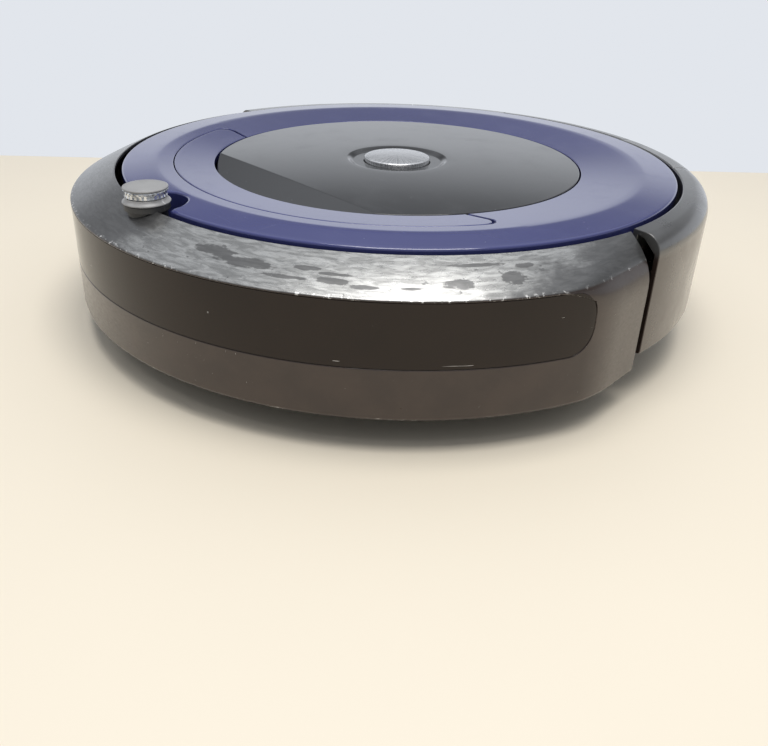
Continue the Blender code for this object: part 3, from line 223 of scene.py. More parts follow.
def inward(path, closed=True):
    # unit normals of a plan path that runs clockwise seen from above, pointing to its right
    if closed:
        ahead = np.roll(path, -1, axis=0) - np.roll(path, 1, axis=0)
    else:
        ahead = np.gradient(path, axis=0)
    ahead /= np.linalg.norm(ahead, axis=1, keepdims=True)
    return np.stack([ahead[:, 1], -ahead[:, 0]], axis=1)


def plate(outline, spine, height, foot, edge=0.5, rows=10, wall=0.0):
    # a solid pad: top rows run from the spine out to the outline at z = height(x, y), round the edge, down to foot
    outline, spine = np.asarray(outline, float), np.asarray(spine, float)
    toSpine = spine - outline
    normal = inward(outline)
    if np.sum(normal * toSpine) < 0:
        normal = -normal
    inner = outline + normal * edge
    loops = []
    for share in np.linspace(1, 0, rows + 1):
        p = inner + (spine - inner) * share
        loops.append(np.column_stack([p, height(p[:, 0], p[:, 1])]))
    topZ = loops[-1][:, 2]
    for t in np.radians([22.5, 45, 67.5, 90]):
        p = outline + normal * edge * (1 - math.sin(t))
        loops.append(np.column_stack([p, topZ - edge * (1 - math.cos(t))]))
    for inset, lift in ((0.0, edge), (edge * 0.3, edge * 0.3), (edge, 0.0)):
        p = outline + normal * inset
        z = foot(p[:, 0], p[:, 1]) if callable(foot) else np.full(len(p), float(foot))
        loops.append(np.column_stack([p, z + lift]))
    for share in np.linspace(0, 1, 4)[1:]:
        p = inner + (spine - inner) * share
        z = foot(p[:, 0], p[:, 1]) if callable(foot) else np.full(len(p), float(foot))
        loops.append(np.column_stack([p, z]))
    return skin(np.array(loops), capStart=False, capEnd=False)


# shader maths: a socket that can be added, scaled and compared like a number
class Wire:
    def __init__(self, paint, socket):
        self.paint, self.socket = paint, socket

    def maths(self, operation, *others, first=False):
        values = [self, *others] if not first else [others[0], self]
        return self.paint.add("ShaderNodeMath", {"operation": operation}, dict(enumerate(values)))

    def __add__(self, other): return self.maths("ADD", other)
    __radd__ = __add__
    def __mul__(self, other): return self.maths("MULTIPLY", other)
    __rmul__ = __mul__
    def __sub__(self, other): return self.maths("SUBTRACT", other)
    def __rsub__(self, other): return self.maths("SUBTRACT", other, first=True)
    def __truediv__(self, other): return self.maths("DIVIDE", other)
    def __pow__(self, other): return self.maths("POWER", other)


class Paint:
    def __init__(self, name):
        self.material = bpy.data.materials.new(name)
        self.material.use_nodes = True
        self.tree = self.material.node_tree
        self.shader = self.tree.nodes["Principled BSDF"]
        self.shader.location = (300, 0)
        self.count = 0

    def add(self, kind, settings, sockets, out=0):
        node = self.tree.nodes.new(kind)
        self.count += 1
        node.location = (-220 * (1 + self.count // 6), 300 - 180 * (self.count % 6))
        for key, value in settings.items():
            if key == "stops":  # places and greys or colours of a ramp
                ramp = node.color_ramp
                while len(ramp.elements) < len(value):
                    ramp.elements.new(0.5)
                for element, (place, colour) in zip(ramp.elements, value):
                    element.position, element.color = place, (*colour, 1.0)
            else:
                setattr(node, key, value)
        for key, value in sockets.items():
            if isinstance(value, Wire):
                self.tree.links.new(value.socket, node.inputs[key])
            else:
                node.inputs[key].default_value = value
        return Wire(self, node.outputs[out])

    def place(self):
        return self.add("ShaderNodeTexCoord", {}, {}, out=3)

    def mapped(self, scale=(1, 1, 1), turn=(0, 0, 0), shift=(0, 0, 0), vector=None):
        return self.add("ShaderNodeMapping", {"vector_type": "POINT"},
                        {"Vector": vector or self.place(), "Scale": scale, "Rotation": turn, "Location": shift})

    def axes(self, vector=None):
        node = self.tree.nodes.new("ShaderNodeSeparateXYZ")
        self.tree.links.new((vector or self.place()).socket, node.inputs[0])
        return [Wire(self, node.outputs[i]) for i in range(3)]

    def vector(self, x, y, z):
        return self.add("ShaderNodeCombineXYZ", {}, {0: x, 1: y, 2: z})

    def ringPlace(self, centre=(0.0, ringY * mm)):
        # distance from an upright axis, angle round it in radians, and height
        x, y, z = self.axes()
        x, y = x - centre[0], y - centre[1]
        radius = (x * x + y * y).maths("SQRT")
        return radius, x.maths("ARCTAN2", y), z

    def noise(self, scale, detail=4.0, rough=0.55, vector=None, distortion=0.0):
        return self.add("ShaderNodeTexNoise", {"noise_dimensions": "3D"},
                        {"Vector": vector or self.place(), "Scale": scale, "Detail": detail, "Roughness": rough,
                         "Distortion": distortion})

    def cells(self, scale, vector=None, feature="F1"):
        return self.add("ShaderNodeTexVoronoi", {"feature": feature},
                        {"Vector": vector or self.place(), "Scale": scale})

    def between(self, value, low, high, toLow=0.0, toHigh=1.0):
        # runs smoothly from toLow to toHigh while the value goes from low to high
        return self.add("ShaderNodeMapRange", {"interpolation_type": "SMOOTHSTEP"},
                        {0: value, 1: low, 2: high, 3: toLow, 4: toHigh})

    def blend(self, mask, a, b):
        def colour(value):
            return (*value, 1.0) if isinstance(value, tuple) and len(value) == 3 else value
        return self.add("ShaderNodeMix", {"data_type": "RGBA"}, {0: mask, 6: colour(a), 7: colour(b)}, out=2)

    def mixed(self, mask, a, b):
        # a where the mask is 0, b where it is 1, for plain numbers
        return mask * (b - a) + a

    def bump(self, height, distance, strength=1.0):
        return self.add("ShaderNodeBump", {}, {"Height": height, "Strength": strength, "Distance": distance * mm})

    def finish(self, **sockets):
        names = {"colour": "Base Color", "rough": "Roughness", "metal": "Metallic", "coat": "Coat Weight",
                 "coatRough": "Coat Roughness", "ior": "IOR", "specular": "Specular IOR Level", "normal": "Normal",
                 "alpha": "Alpha", "sheen": "Sheen Weight", "through": "Transmission Weight",
                 "subsurface": "Subsurface Weight", "glow": "Emission Color", "aniso": "Anisotropic"}
        for key, value in sockets.items():
            socket = self.shader.inputs[names[key]]
            if isinstance(value, Wire):
                self.tree.links.new(value.socket, socket)
            else:
                socket.default_value = (*value, 1.0) if isinstance(value, tuple) and len(value) == 3 else value
        return self.material


# finishes
def plastic(name, colour, rough, grain=0.25, grainScale=900, fleck=0.12, wear=0.0):
    # moulded plastic: fine grain in the bump, faint mottling, a few rubbed lighter marks
    p = Paint(name)
    mottle = p.noise(60, 3.0)
    speck = p.noise(grainScale, 2.0, 0.6)
    rub = p.between(p.noise(220, 5.0, 0.7, p.mapped((1, 1, 0.25))), 0.62, 0.74)
    dark = tuple(c * (1 - fleck) for c in colour)
    light = tuple(min(c * (1 + fleck) + 0.004, 1) for c in colour)
    base = p.blend(p.between(mottle, 0.35, 0.65), dark, light)
    if wear:
        base = p.blend(rub * wear, base, tuple(min(c * 2.2 + 0.05, 1) for c in colour))
    return p.finish(colour=base, rough=p.between(mottle, 0.3, 0.7, rough - 0.06, rough + 0.08) + rub * 0.08,
                    normal=p.bump(speck, 0.02, grain))


def metal(name, colour, rough, brush=(1, 1, 1), grime=0.3):
    # turned or rolled metal: stretched noise gives the tool marks, a soft stain gives the handling
    p = Paint(name)
    marks = p.noise(700, 3.0, 0.6, p.mapped(brush))
    stain = p.between(p.noise(70, 4.0), 0.42, 0.7)
    base = p.blend(stain * grime, colour, tuple(c * 0.55 for c in colour))
    return p.finish(colour=base, rough=p.between(marks, 0.3, 0.7, rough - 0.08, rough + 0.1) + stain * 0.1, metal=1.0,
                    normal=p.bump(marks, 0.01, 0.3))


gloss = dict(navy=(0.048, 0.055, 0.190), navyDeep=(0.040, 0.046, 0.165), black=(0.007, 0.007, 0.008),
             swirl=0.012)


def glossy(name, colour, deep, rough=0.10, dust=0.05, scratch=0.5):
    # clear-coated plastic with dust, hairline scratches and a slow unevenness
    p = Paint(name)
    slow = p.noise(9, 3.0)
    hair = p.between(p.noise(26, 2.0, 0.5, p.mapped((1, 34, 1), (0, 0, 0.6)), 0.4), 0.70, 0.74)
    hair2 = p.between(p.noise(20, 2.0, 0.5, p.mapped((40, 1, 1), (0, 0, 0.3)), 0.5), 0.71, 0.75)
    dots = p.between(p.cells(260), 0.10, 0.04)
    some = p.between(p.noise(40, 3.0), 0.52, 0.68)
    specks = dots * some
    base = p.blend(p.between(slow, 0.3, 0.7), deep, colour)
    base = p.blend((hair + hair2) * (0.10 * scratch) + specks * dust * 4, base, (0.35, 0.36, 0.40))
    rub = p.between(p.noise(55, 5.0, 0.65), 0.45, 0.75, 0.0, 0.09)
    return p.finish(colour=base, rough=rub + (hair + hair2) * (0.12 * scratch) + specks * 0.3 + rough, coat=0.6,
                    coatRough=0.06, ior=1.5, normal=p.bump(slow, gloss["swirl"] * 8, 0.25))


navyGloss = glossy("navyGloss", gloss["navy"], gloss["navyDeep"], 0.12)
blackGloss = glossy("blackGloss", gloss["black"], (0.004, 0.004, 0.005), 0.10)

# colours of the warm paint, with a painted reflection in them: paint and paintDeep are the upright wall darkened and
# browned for the cream floor it reflects, top is the same paint as a lighter grey on the slope
bumperLook = dict(paint=(0.050, 0.034, 0.028), paintDeep=(0.038, 0.026, 0.022), top=(0.105, 0.105, 0.105),
                  silver=(0.46, 0.46, 0.45), paintMetal=0.35, edge=71.6,
                  # leftover paint: angle from the front, radius, half length in degrees, half width in mm
                  islands=((21, 168.6, 3.6, 2.6), (26.5, 171.4, 4.4, 2.6), (33, 175.0, 3.2, 0.9), (35.4, 169.4, 2.2, 1.1),
                           (39.5, 171.2, 2.4, 0.8), (39.5, 174.4, 2.4, 1.5), (43.8, 176.2, 2.0, 1.0),
                           (49.8, 175.9, 1.4, 0.6), (56.2, 173.6, 1.9, 2.4), (59, 164.6, 4.4, 0.9),
                           (63.9, 171.6, 1.7, 3.0), (66, 166.0, 1.5, 1.2)))


def bumperPaint():
    # warm metallic paint with a painted reflection: the upright wall is darkened and browned for the cream floor it
    # reflects, and the slope above the edge is a lighter grey; on the slope it is rubbed to bare silver from the knob
    # round to the side
    look = bumperLook
    p = Paint("bumperPaint")
    radius, _, z = p.ringPlace()
    x, y, _ = p.axes()
    front = x.maths("ARCTAN2", (y - ringY * mm) * -1.0) * (180 / pi)  # degrees from the front
    along = p.vector(front * 0.010, radius * 14.0, z * 14.0)
    streak = p.noise(34, 5.0, 0.62, along, 0.6)
    fineStreak = p.noise(90, 4.0, 0.6, p.vector(front * 0.012, radius * 16.0, z * 10.0))
    blotch = p.noise(55, 5.0, 0.6)
    ragged = p.noise(170, 5.0, 0.65)
    # the slope above the sharp edge: it holds the wear, and it switches the colour from the wall's painted floor
    # reflection to the lighter grey top
    slope = p.between(z, (look["edge"] - 0.4) * mm, (look["edge"] + 0.5) * mm)
    wornStart = p.between(front + (blotch - 0.5) * 16.0, 3.0, 11.0)
    wornEnd = p.between(front + (blotch - 0.5) * 26.0 + (radius - 0.166) * 900.0, 80.0, 70.0)
    worn = wornStart * wornEnd * slope
    islands = None
    for a, r, halfA, halfR in look["islands"]:
        across = (front - a) * (1.0 / halfA)
        down = (radius - r * mm) * (1.0 / (halfR * mm))
        spot = across * across + down * down + (ragged - 0.5) * 2.6 + (streak - 0.5) * 2.0
        inside = p.between(spot, 1.25, 0.75)
        islands = inside if islands is None else islands.maths("MAXIMUM", inside)
    crumbs = p.between(p.noise(62, 4.0, 0.6, p.vector(front * 0.010, radius * 5.0, z)), 0.66, 0.70)
    bare = worn * (1 - islands.maths("MAXIMUM", crumbs * 0.85))
    thin = p.between(streak, 0.36, 0.66)
    # the sharp edge and the lip are rubbed through in spots all the way round
    edgeBand = p.between((z - (look["edge"] + 0.1) * mm).maths("ABSOLUTE"), 0.9 * mm, 0.3 * mm)
    lipBand = p.between((z - 16.9 * mm).maths("ABSOLUTE"), 0.9 * mm, 0.3 * mm)
    chips = p.between(p.noise(420, 4.0, 0.7), 0.56, 0.62)
    edgeBare = (edgeBand * p.between(blotch, 0.40, 0.55) + lipBand * p.between(blotch, 0.5, 0.62) * 0.8) * chips
    nicks = p.between(p.noise(150, 3.0, 0.6, p.vector(front * 0.05, radius * 2.0, z * 2.6)), 0.745, 0.765)
    # painted reflection: the wall is the paint darkened and browned for the cream floor, the slope's top colour is the
    # same paint in a lighter grey
    wall = p.blend(p.between(blotch, 0.3, 0.7), look["paintDeep"], look["paint"])
    top = p.blend(thin * 0.5, look["top"], tuple(c * 1.7 for c in look["top"]))
    silver = p.blend(thin, tuple(c * 0.55 for c in look["silver"]), look["silver"])
    colour = p.blend(slope, wall, top)
    colour = p.blend(bare, colour, silver)
    bright = edgeBare + nicks * 0.8
    colour = p.blend(bright.maths("MINIMUM", 1.0), colour, (0.75, 0.74, 0.72))
    metalness = p.mixed(bare, slope * 0.35 + look["paintMetal"], 0.85)
    rough = p.mixed(bare, 0.34, 0.30) + (fineStreak - 0.5) * 0.30 + islands * 0.05
    return p.finish(colour=colour, rough=rough.maths("MAXIMUM", 0.12), metal=metalness, coat=0.55, coatRough=0.14,
                    normal=p.bump(fineStreak + bare * -0.6 + ragged * 0.15, 0.035, 0.35))


def bodyPaint():
    # the same warm paint on the rear body with a painted reflection: the wall is darkened and browned for the cream
    # floor it reflects and the crown above it is a lighter grey; with fine dust and light scuffs
    p = Paint("bodyPaint")
    z = p.axes()[2]
    blotch, fine = p.noise(50, 5.0, 0.6), p.noise(800, 2.0)
    scuff = p.between(p.noise(120, 4.0, 0.6, p.mapped((1, 1, 5))), 0.70, 0.76)
    # painted reflection: between 70 and 76 mm up the colour turns from the wall's paint, darkened and browned for the
    # floor, to the lighter grey crown
    top = p.between(z, 70 * mm, 76 * mm)
    wall = p.blend(p.between(blotch, 0.3, 0.7), bumperLook["paintDeep"], bumperLook["paint"])
    crown = p.blend(p.between(blotch, 0.3, 0.7), (0.080, 0.080, 0.080), (0.105, 0.105, 0.104))
    colour = p.blend(top, wall, crown)
    colour = p.blend(scuff * 0.5, colour, (0.5, 0.49, 0.47))
    return p.finish(colour=colour, rough=p.between(blotch, 0.3, 0.7, 0.24, 0.36) + scuff * 0.1, metal=0.45, coat=0.7,
                    coatRough=0.12, normal=p.bump(fine, 0.012, 0.3))


def windowGlass():
    # dark brown infrared window: glossy, with a few white chips and drag marks
    p = Paint("windowGlass")
    slow = p.noise(16, 3.0)
    chipA = p.between(p.noise(240, 3.0, 0.7), 0.735, 0.75)
    chipB = p.between(p.cells(75), 0.045, 0.02) * p.between(p.noise(30, 2.0), 0.50, 0.56)
    drag = p.between(p.noise(60, 2.0, 0.5, p.mapped((1, 1, 16), (0, 0.4, 0)), 0.6), 0.76, 0.77)
    marks = (chipA * p.between(p.noise(24, 2.0), 0.5, 0.6) + chipB + drag).maths("MINIMUM", 1.0)
    base = p.blend(p.between(slow, 0.35, 0.65), (0.010, 0.004, 0.002), (0.015, 0.007, 0.004))
    colour = p.blend(marks * 0.85, base, (0.70, 0.68, 0.65))
    rough = p.between(p.noise(60, 5.0), 0.3, 0.75, 0.06, 0.17) + marks * 0.4
    return p.finish(colour=colour, rough=rough, coat=0.0, ior=1.42, coatRough=0.08, normal=p.bump(slow, 0.10, 0.2))


def brushedButton():
    # silver button with a radial brushed grain: noise on the angle only
    p = Paint("brushedButton")
    radius, angle, _ = p.ringPlace()
    rays = p.noise(5.0, 6.0, 0.75, p.vector(angle.maths("SINE") * 9.0, angle.maths("COSINE") * 9.0, radius * 4.0))
    fine = p.noise(5.0, 4.0, 0.7, p.vector(angle.maths("SINE") * 40.0, angle.maths("COSINE") * 40.0, radius * 6.0))
    both = rays * 0.6 + fine * 0.4
    colour = p.blend(p.between(both, 0.38, 0.62), (0.70, 0.70, 0.71), (0.93, 0.93, 0.93))
    return p.finish(colour=colour, rough=p.between(both, 0.35, 0.65, 0.20, 0.36), metal=1.0,
                    normal=p.bump(both, 0.05, 0.6))


def silverPrism():
    p = Paint("silverPrism")
    grain = p.noise(420, 4.0, 0.65)
    dirt = p.between(p.noise(130, 5.0, 0.6), 0.48, 0.66)
    colour = p.blend(dirt, (0.78, 0.80, 0.82), (0.20, 0.21, 0.22))
    return p.finish(colour=colour, rough=p.between(grain, 0.3, 0.7, 0.04, 0.22), metal=0.75, coat=1.0, coatRough=0.03,
                    normal=p.bump(grain, 0.08, 0.5))


def rubber(name, colour, grain=500):
    # matt rubber, dusty grey where it is rubbed
    p = Paint(name)
    dust = p.between(p.noise(90, 5.0, 0.65), 0.45, 0.7)
    pores = p.noise(grain, 3.0, 0.6)
    base = p.blend(dust * 0.5, colour, tuple(c * 0.6 + 0.06 for c in colour))
    return p.finish(colour=base, rough=p.between(dust, 0.0, 1.0, 0.62, 0.82), normal=p.bump(pores, 0.05, 0.5))


def circuit():
    # solder mask with tracks and pads
    p = Paint("circuitBoard")
    tracks = p.between(p.cells(520, p.mapped((1, 0.35, 1)), "DISTANCE_TO_EDGE"), 0.03, 0.08)
    pads = p.between(p.cells(330), 0.16, 0.12)
    base = p.blend(tracks, (0.03, 0.20, 0.09), (0.012, 0.10, 0.045))
    colour = p.blend(pads, base, (0.72, 0.70, 0.62))
    return p.finish(colour=colour, rough=p.between(pads, 0.0, 1.0, 0.42, 0.28), metal=pads * 0.9,
                    normal=p.bump(tracks + pads, 0.04, 0.5))


def paper():
    p = Paint("filterPaper")
    fibre = p.noise(600, 5.0, 0.7, p.mapped((1, 1, 0.4)))
    dirt = p.between(p.noise(60, 4.0), 0.4, 0.75)
    colour = p.blend(dirt * 0.6, (0.80, 0.77, 0.70), (0.52, 0.48, 0.42))
    return p.finish(colour=colour, rough=0.92, normal=p.bump(fibre, 0.08, 0.7))


bumperFinish, bodyFinish, windowFinish = bumperPaint(), bodyPaint(), windowGlass()
buttonFinish, prismFinish = brushedButton(), silverPrism()
capFinish = plastic("capGrey", (0.30, 0.30, 0.30), 0.42, 0.3, 700, 0.10, 0.4)
satinBlack = plastic("satinBlack", (0.020, 0.020, 0.021), 0.46)
underBlack = plastic("underBlack", (0.028, 0.028, 0.029), 0.55, 0.5, 600, 0.2, 0.35)
warmPlastic = plastic("warmPlastic", (0.085, 0.080, 0.074), 0.42, 0.35, 700, 0.12, 0.3)
flareGrey = plastic("flareGrey", (0.36, 0.36, 0.36), 0.34, 0.3, 500, 0.2, 0.5)
knobDark = plastic("knobDark", (0.05, 0.05, 0.05), 0.40, 0.3, 700, 0.15, 0.3)
brightMetal = metal("contactPlate", (0.80, 0.79, 0.76), 0.26, (8, 1, 1), 0.35)
steelFinish = metal("turnedSteel", (0.56, 0.56, 0.57), 0.30, (1, 12, 12), 0.3)
springSteel = metal("springSteel", (0.50, 0.50, 0.51), 0.34, (1, 1, 1), 0.2)
tyreRubber = rubber("tyreRubber", (0.022, 0.022, 0.022))
casterRubber = rubber("casterRubber", (0.030, 0.030, 0.031), 700)
rollerRubber = rubber("rollerRubber", (0.135, 0.26, 0.085), 350)
boardFinish, paperFinish = circuit(), paper()
batteryWrap = plastic("batteryWrap", (0.045, 0.11, 0.28), 0.36, 0.2, 300, 0.1, 0.2)
binSmoke = plastic("binSmoke", (0.040, 0.040, 0.043), 0.24, 0.15, 500, 0.12, 0.3)
bristleFinish = plastic("bristles", (0.045, 0.045, 0.046), 0.5, 0.1)
print("finishes ready")


# ring, disc, button and handle
ring = dict(inner=104.6, crease=136.6, outer=154.9, innerZ=81.2, creaseZ=84.5, outerZ=83.25, foot=66.3, edge=1.3,
            seamForward=41.4, pocketRadius=127.35, farRound=7.0, nearRound=1.6, notchHalf=14.0, notchBack=138.5)


def ringHeight(x, y):
    # two cones that meet at the crease, blended over 3 mm
    r = np.hypot(x, y - ringY)
    d = ring
    up = d["innerZ"] + (d["creaseZ"] - d["innerZ"]) * (r - d["inner"]) / (d["crease"] - d["inner"])
    down = d["creaseZ"] + (d["outerZ"] - d["creaseZ"]) * (r - d["crease"]) / (d["outer"] - d["crease"])
    soft = 0.10
    return -soft * np.logaddexp(-up / soft, -down / soft)


def pocketCorner(side, radius, corner, forward):
    # the round that joins the pocket's arc to its straight end line, as plan points from arc to line
    # its centre is corner inside both: at distance radius - corner from the axis and corner behind the line
    far = radius - corner
    cy = forward + corner
    cx = math.sqrt(far ** 2 - cy ** 2)
    onArc = math.atan2(cx, cy)
    turn = np.linspace(onArc, pi, 9)  # heading measured from straight ahead
    return np.stack([side * (cx + corner * np.sin(turn)), ringY - (cy + corner * np.cos(turn))], axis=-1)


def arc(radius, start, stop, count):
    return around(radius, np.linspace(start, stop, count), 0.0)[:, :2]


def ringShell():
    d = ring
    # inner path: pocket arc in front, rounded corner, end line, then the disc's edge round the back
    left = pocketCorner(1, d["pocketRadius"], d["farRound"], d["seamForward"])
    right = pocketCorner(-1, d["pocketRadius"], d["farRound"], d["seamForward"])
    reach = math.degrees(math.atan2(left[0, 0], ringY - left[0, 1]))
    endX = math.sqrt(d["inner"] ** 2 - d["seamForward"] ** 2)
    line = np.stack([np.linspace(left[-1, 0], endX, 8), np.full(8, ringY - d["seamForward"])], axis=-1)
    endAngle = math.degrees(math.atan2(endX, d["seamForward"]))
    inner = np.concatenate([arc(d["pocketRadius"], -reach, reach, 150), left[1:-1], line,
                            arc(d["inner"], endAngle, 360 - endAngle, 190)[1:-1],
                            line[::-1] * (-1, 1), (right[1:-1])[::-1]])
    # outer path: angles on the rim that keep clear of the pocket, pushed back into a U where the knob stands
    angle = np.degrees(np.unwrap(np.arctan2(inner[:, 0], ringY - inner[:, 1])))
    arcEndAt, lineFrom, lineTo = 149, 149 + len(left) - 1, 149 + len(left) + 6
    clear = math.degrees(math.acos((d["seamForward"] - 1.0) / d["outer"]))
    catchUp = lineTo + 24
    n = len(inner)
    keys = [0, 20, arcEndAt - 20, arcEndAt, lineFrom, lineTo, catchUp]
    values = [angle[0] - 1.5, angle[20], angle[arcEndAt - 20], angle[arcEndAt] + 1.5, clear - 0.5, clear + 0.5,
              angle[catchUp]]
    keys = keys + [n - 1 - k + 149 for k in (catchUp, lineTo, lineFrom)] + [n]
    values = values + [360 - v for v in (values[6], values[5], values[4])] + [360 + values[0]]
    outerAngle = np.interp(np.arange(n), keys, values)
    steady = (np.arange(n) > 20) & (np.arange(n) < arcEndAt - 20)
    outerAngle = np.where(steady, angle, outerAngle)
    crease = around(d["crease"], outerAngle + (angle - outerAngle) * 0.35, 0.0)[:, :2]
    outer = around(d["outer"], outerAngle, 0.0)[:, :2]
    halfAngle = math.degrees(math.asin(d["notchHalf"] / d["outer"]))
    inNotch = np.abs(outerAngle) < halfAngle + 1.2
    count = int(inNotch.sum())
    depth = math.sqrt(d["outer"] ** 2 - d["notchHalf"] ** 2) - (d["notchBack"] + d["notchHalf"])
    lip = 1.5
    bow = d["notchHalf"] * pi
    total = 2 * (depth + lip) + bow
    s = np.linspace(0, total, count)
    turn = pi - (s - depth - lip) / d["notchHalf"]
    x = d["notchHalf"] * np.cos(turn)
    f = d["notchBack"] + d["notchHalf"] - d["notchHalf"] * np.sin(turn)
    early, late = s < depth + lip, s > depth + lip + bow
    rimForward = np.sqrt(d["outer"] ** 2 - d["notchHalf"] ** 2)
    x = np.where(early, -d["notchHalf"], np.where(late, d["notchHalf"], x))
    f = np.where(early, rimForward - s, np.where(late, rimForward - (total - s), f))
    nearLip = np.clip(1 - s / lip, 0, 1) + np.clip(1 - (total - s) / lip, 0, 1)
    x = x + np.sign(x) * nearLip ** 2 * lip
    f = np.where(nearLip > 0, np.sqrt(d["outer"] ** 2 - x ** 2) - (1 - nearLip) ** 2 * lip, f)
    outer[inNotch] = np.stack([x, ringY - f], axis=-1)
    return inner, crease, outer


def plateBetween(inner, crease, outer, height, foot, innerEdge, outerEdge, thick=2.4, rows=8):
    # a closed band between two plan loops: wall, rounded edge, top rows at z = height(x, y), rounded edge, wall
    nIn, nOut = inward(inner), inward(outer)
    across = outer - inner
    nIn *= np.sign(np.sum(nIn * across))
    nOut *= np.sign(np.sum(nOut * -across))
    t = np.radians([90, 67.5, 45, 22.5])
    loops = [np.column_stack([inner, np.full(len(inner), foot)])]
    start = inner + nIn * innerEdge
    zStart = height(start[:, 0], start[:, 1])
    for a in t:
        p = inner + nIn * innerEdge * (1 - math.sin(a))
        loops.append(np.column_stack([p, zStart - innerEdge * (1 - math.cos(a))]))
    stop = outer + nOut * outerEdge
    for share in np.linspace(0, 1, rows + 1)[:-1]:
        p = start + (crease - start) * share
        loops.append(np.column_stack([p, height(p[:, 0], p[:, 1])]))
    for share in np.linspace(0, 1, rows + 1):
        p = crease + (stop - crease) * share
        loops.append(np.column_stack([p, height(p[:, 0], p[:, 1])]))
    zStop = loops[-1][:, 2]
    for a in t[::-1]:
        p = outer + nOut * outerEdge * (1 - math.sin(a))
        loops.append(np.column_stack([p, zStop - outerEdge * (1 - math.cos(a))]))
    loops.append(np.column_stack([outer, np.full(len(outer), foot)]))
    for p in (outer + nOut * thick, inner + nIn * thick):
        loops.append(np.column_stack([p, height(p[:, 0], p[:, 1]) - thick - 1.0]))
    loops.insert(-2, np.column_stack([outer + nOut * thick, np.full(len(outer), foot)]))
    loops.append(np.column_stack([inner + nIn * thick, np.full(len(inner), foot)]))
    return skin(np.array(loops), alongClosed=True)


innerPath, creasePath, outerPath = ringShell()
makePiece("topRing", plateBetween(innerPath, creasePath, outerPath, ringHeight, ring["foot"], 0.5, ring["edge"]),
                      navyGloss, "robot", ("top_ring",), "navy_gloss")

handle = dict(inner=104.95, outer=126.85, forward=43.1, hingeForward=43.0, hingeZ=79.2, thick=4.0, farRound=6.6,
              barrelRadius=2.6, pinRadius=1.85, flatZ=80.85, barrelFrom=96.8, barrelTo=117.4)


def handleShell():
    d = handle
    left = pocketCorner(1, d["outer"], d["farRound"], d["forward"])
    right = pocketCorner(-1, d["outer"], d["farRound"], d["forward"])
    reach = math.degrees(math.atan2(left[0, 0], ringY - left[0, 1]))
    endX = math.sqrt(d["inner"] ** 2 - d["forward"] ** 2)
    endAngle = math.degrees(math.atan2(endX, d["forward"]))
    lineL = np.stack([np.linspace(left[-1, 0], endX, 9), np.full(9, ringY - d["forward"])], axis=-1)
    outline = np.concatenate([arc(d["outer"], -reach, reach, 140), left[1:-1], lineL,
                              arc(d["inner"], endAngle, -endAngle, 120)[1:-1],
                              lineL[::-1] * (-1, 1), right[1:-1][::-1]])
    middle, halfWide = (d["inner"] + d["outer"]) / 2, (d["outer"] - d["inner"]) / 2
    a = np.degrees(np.arctan2(outline[:, 0], ringY - outline[:, 1]))
    limit = math.degrees(math.acos((d["forward"] + halfWide) / middle))
    spine = around(middle, np.clip(a, -limit, limit), 0.0)[:, :2]
    return plate(outline, spine, ringHeight, lambda x, y: ringHeight(x, y) - d["thick"], edge=0.5, rows=6)


def hingeBarrels():
    d = handle
    place = (0, ringY - d["hingeForward"], d["hingeZ"])
    pair = [lathe([(d["pinRadius"], s * d["barrelFrom"]), (d["barrelRadius"], s * d["barrelFrom"]),
                   (d["barrelRadius"], s * d["barrelTo"]), (d["pinRadius"], s * d["barrelTo"])],
                  0.1, 40, place, "X", 2) for s in (-1, 1)]
    for points, _ in pair:  # flat on top, under the ring's surface
        points[:, 2] = np.minimum(points[:, 2], d["flatZ"])
    return pair


makePiece("carryHandle", join(handleShell(), *hingeBarrels()), navyGloss, "handle", ("handle",), "navy_gloss")

disc = dict(radius=103.8, z=81.2, bore=19.35, chord=76.5, slope=0.33, dish=29.4, dishDepth=1.6, foot=66.3,
            edge=0.45, dome=0.7)


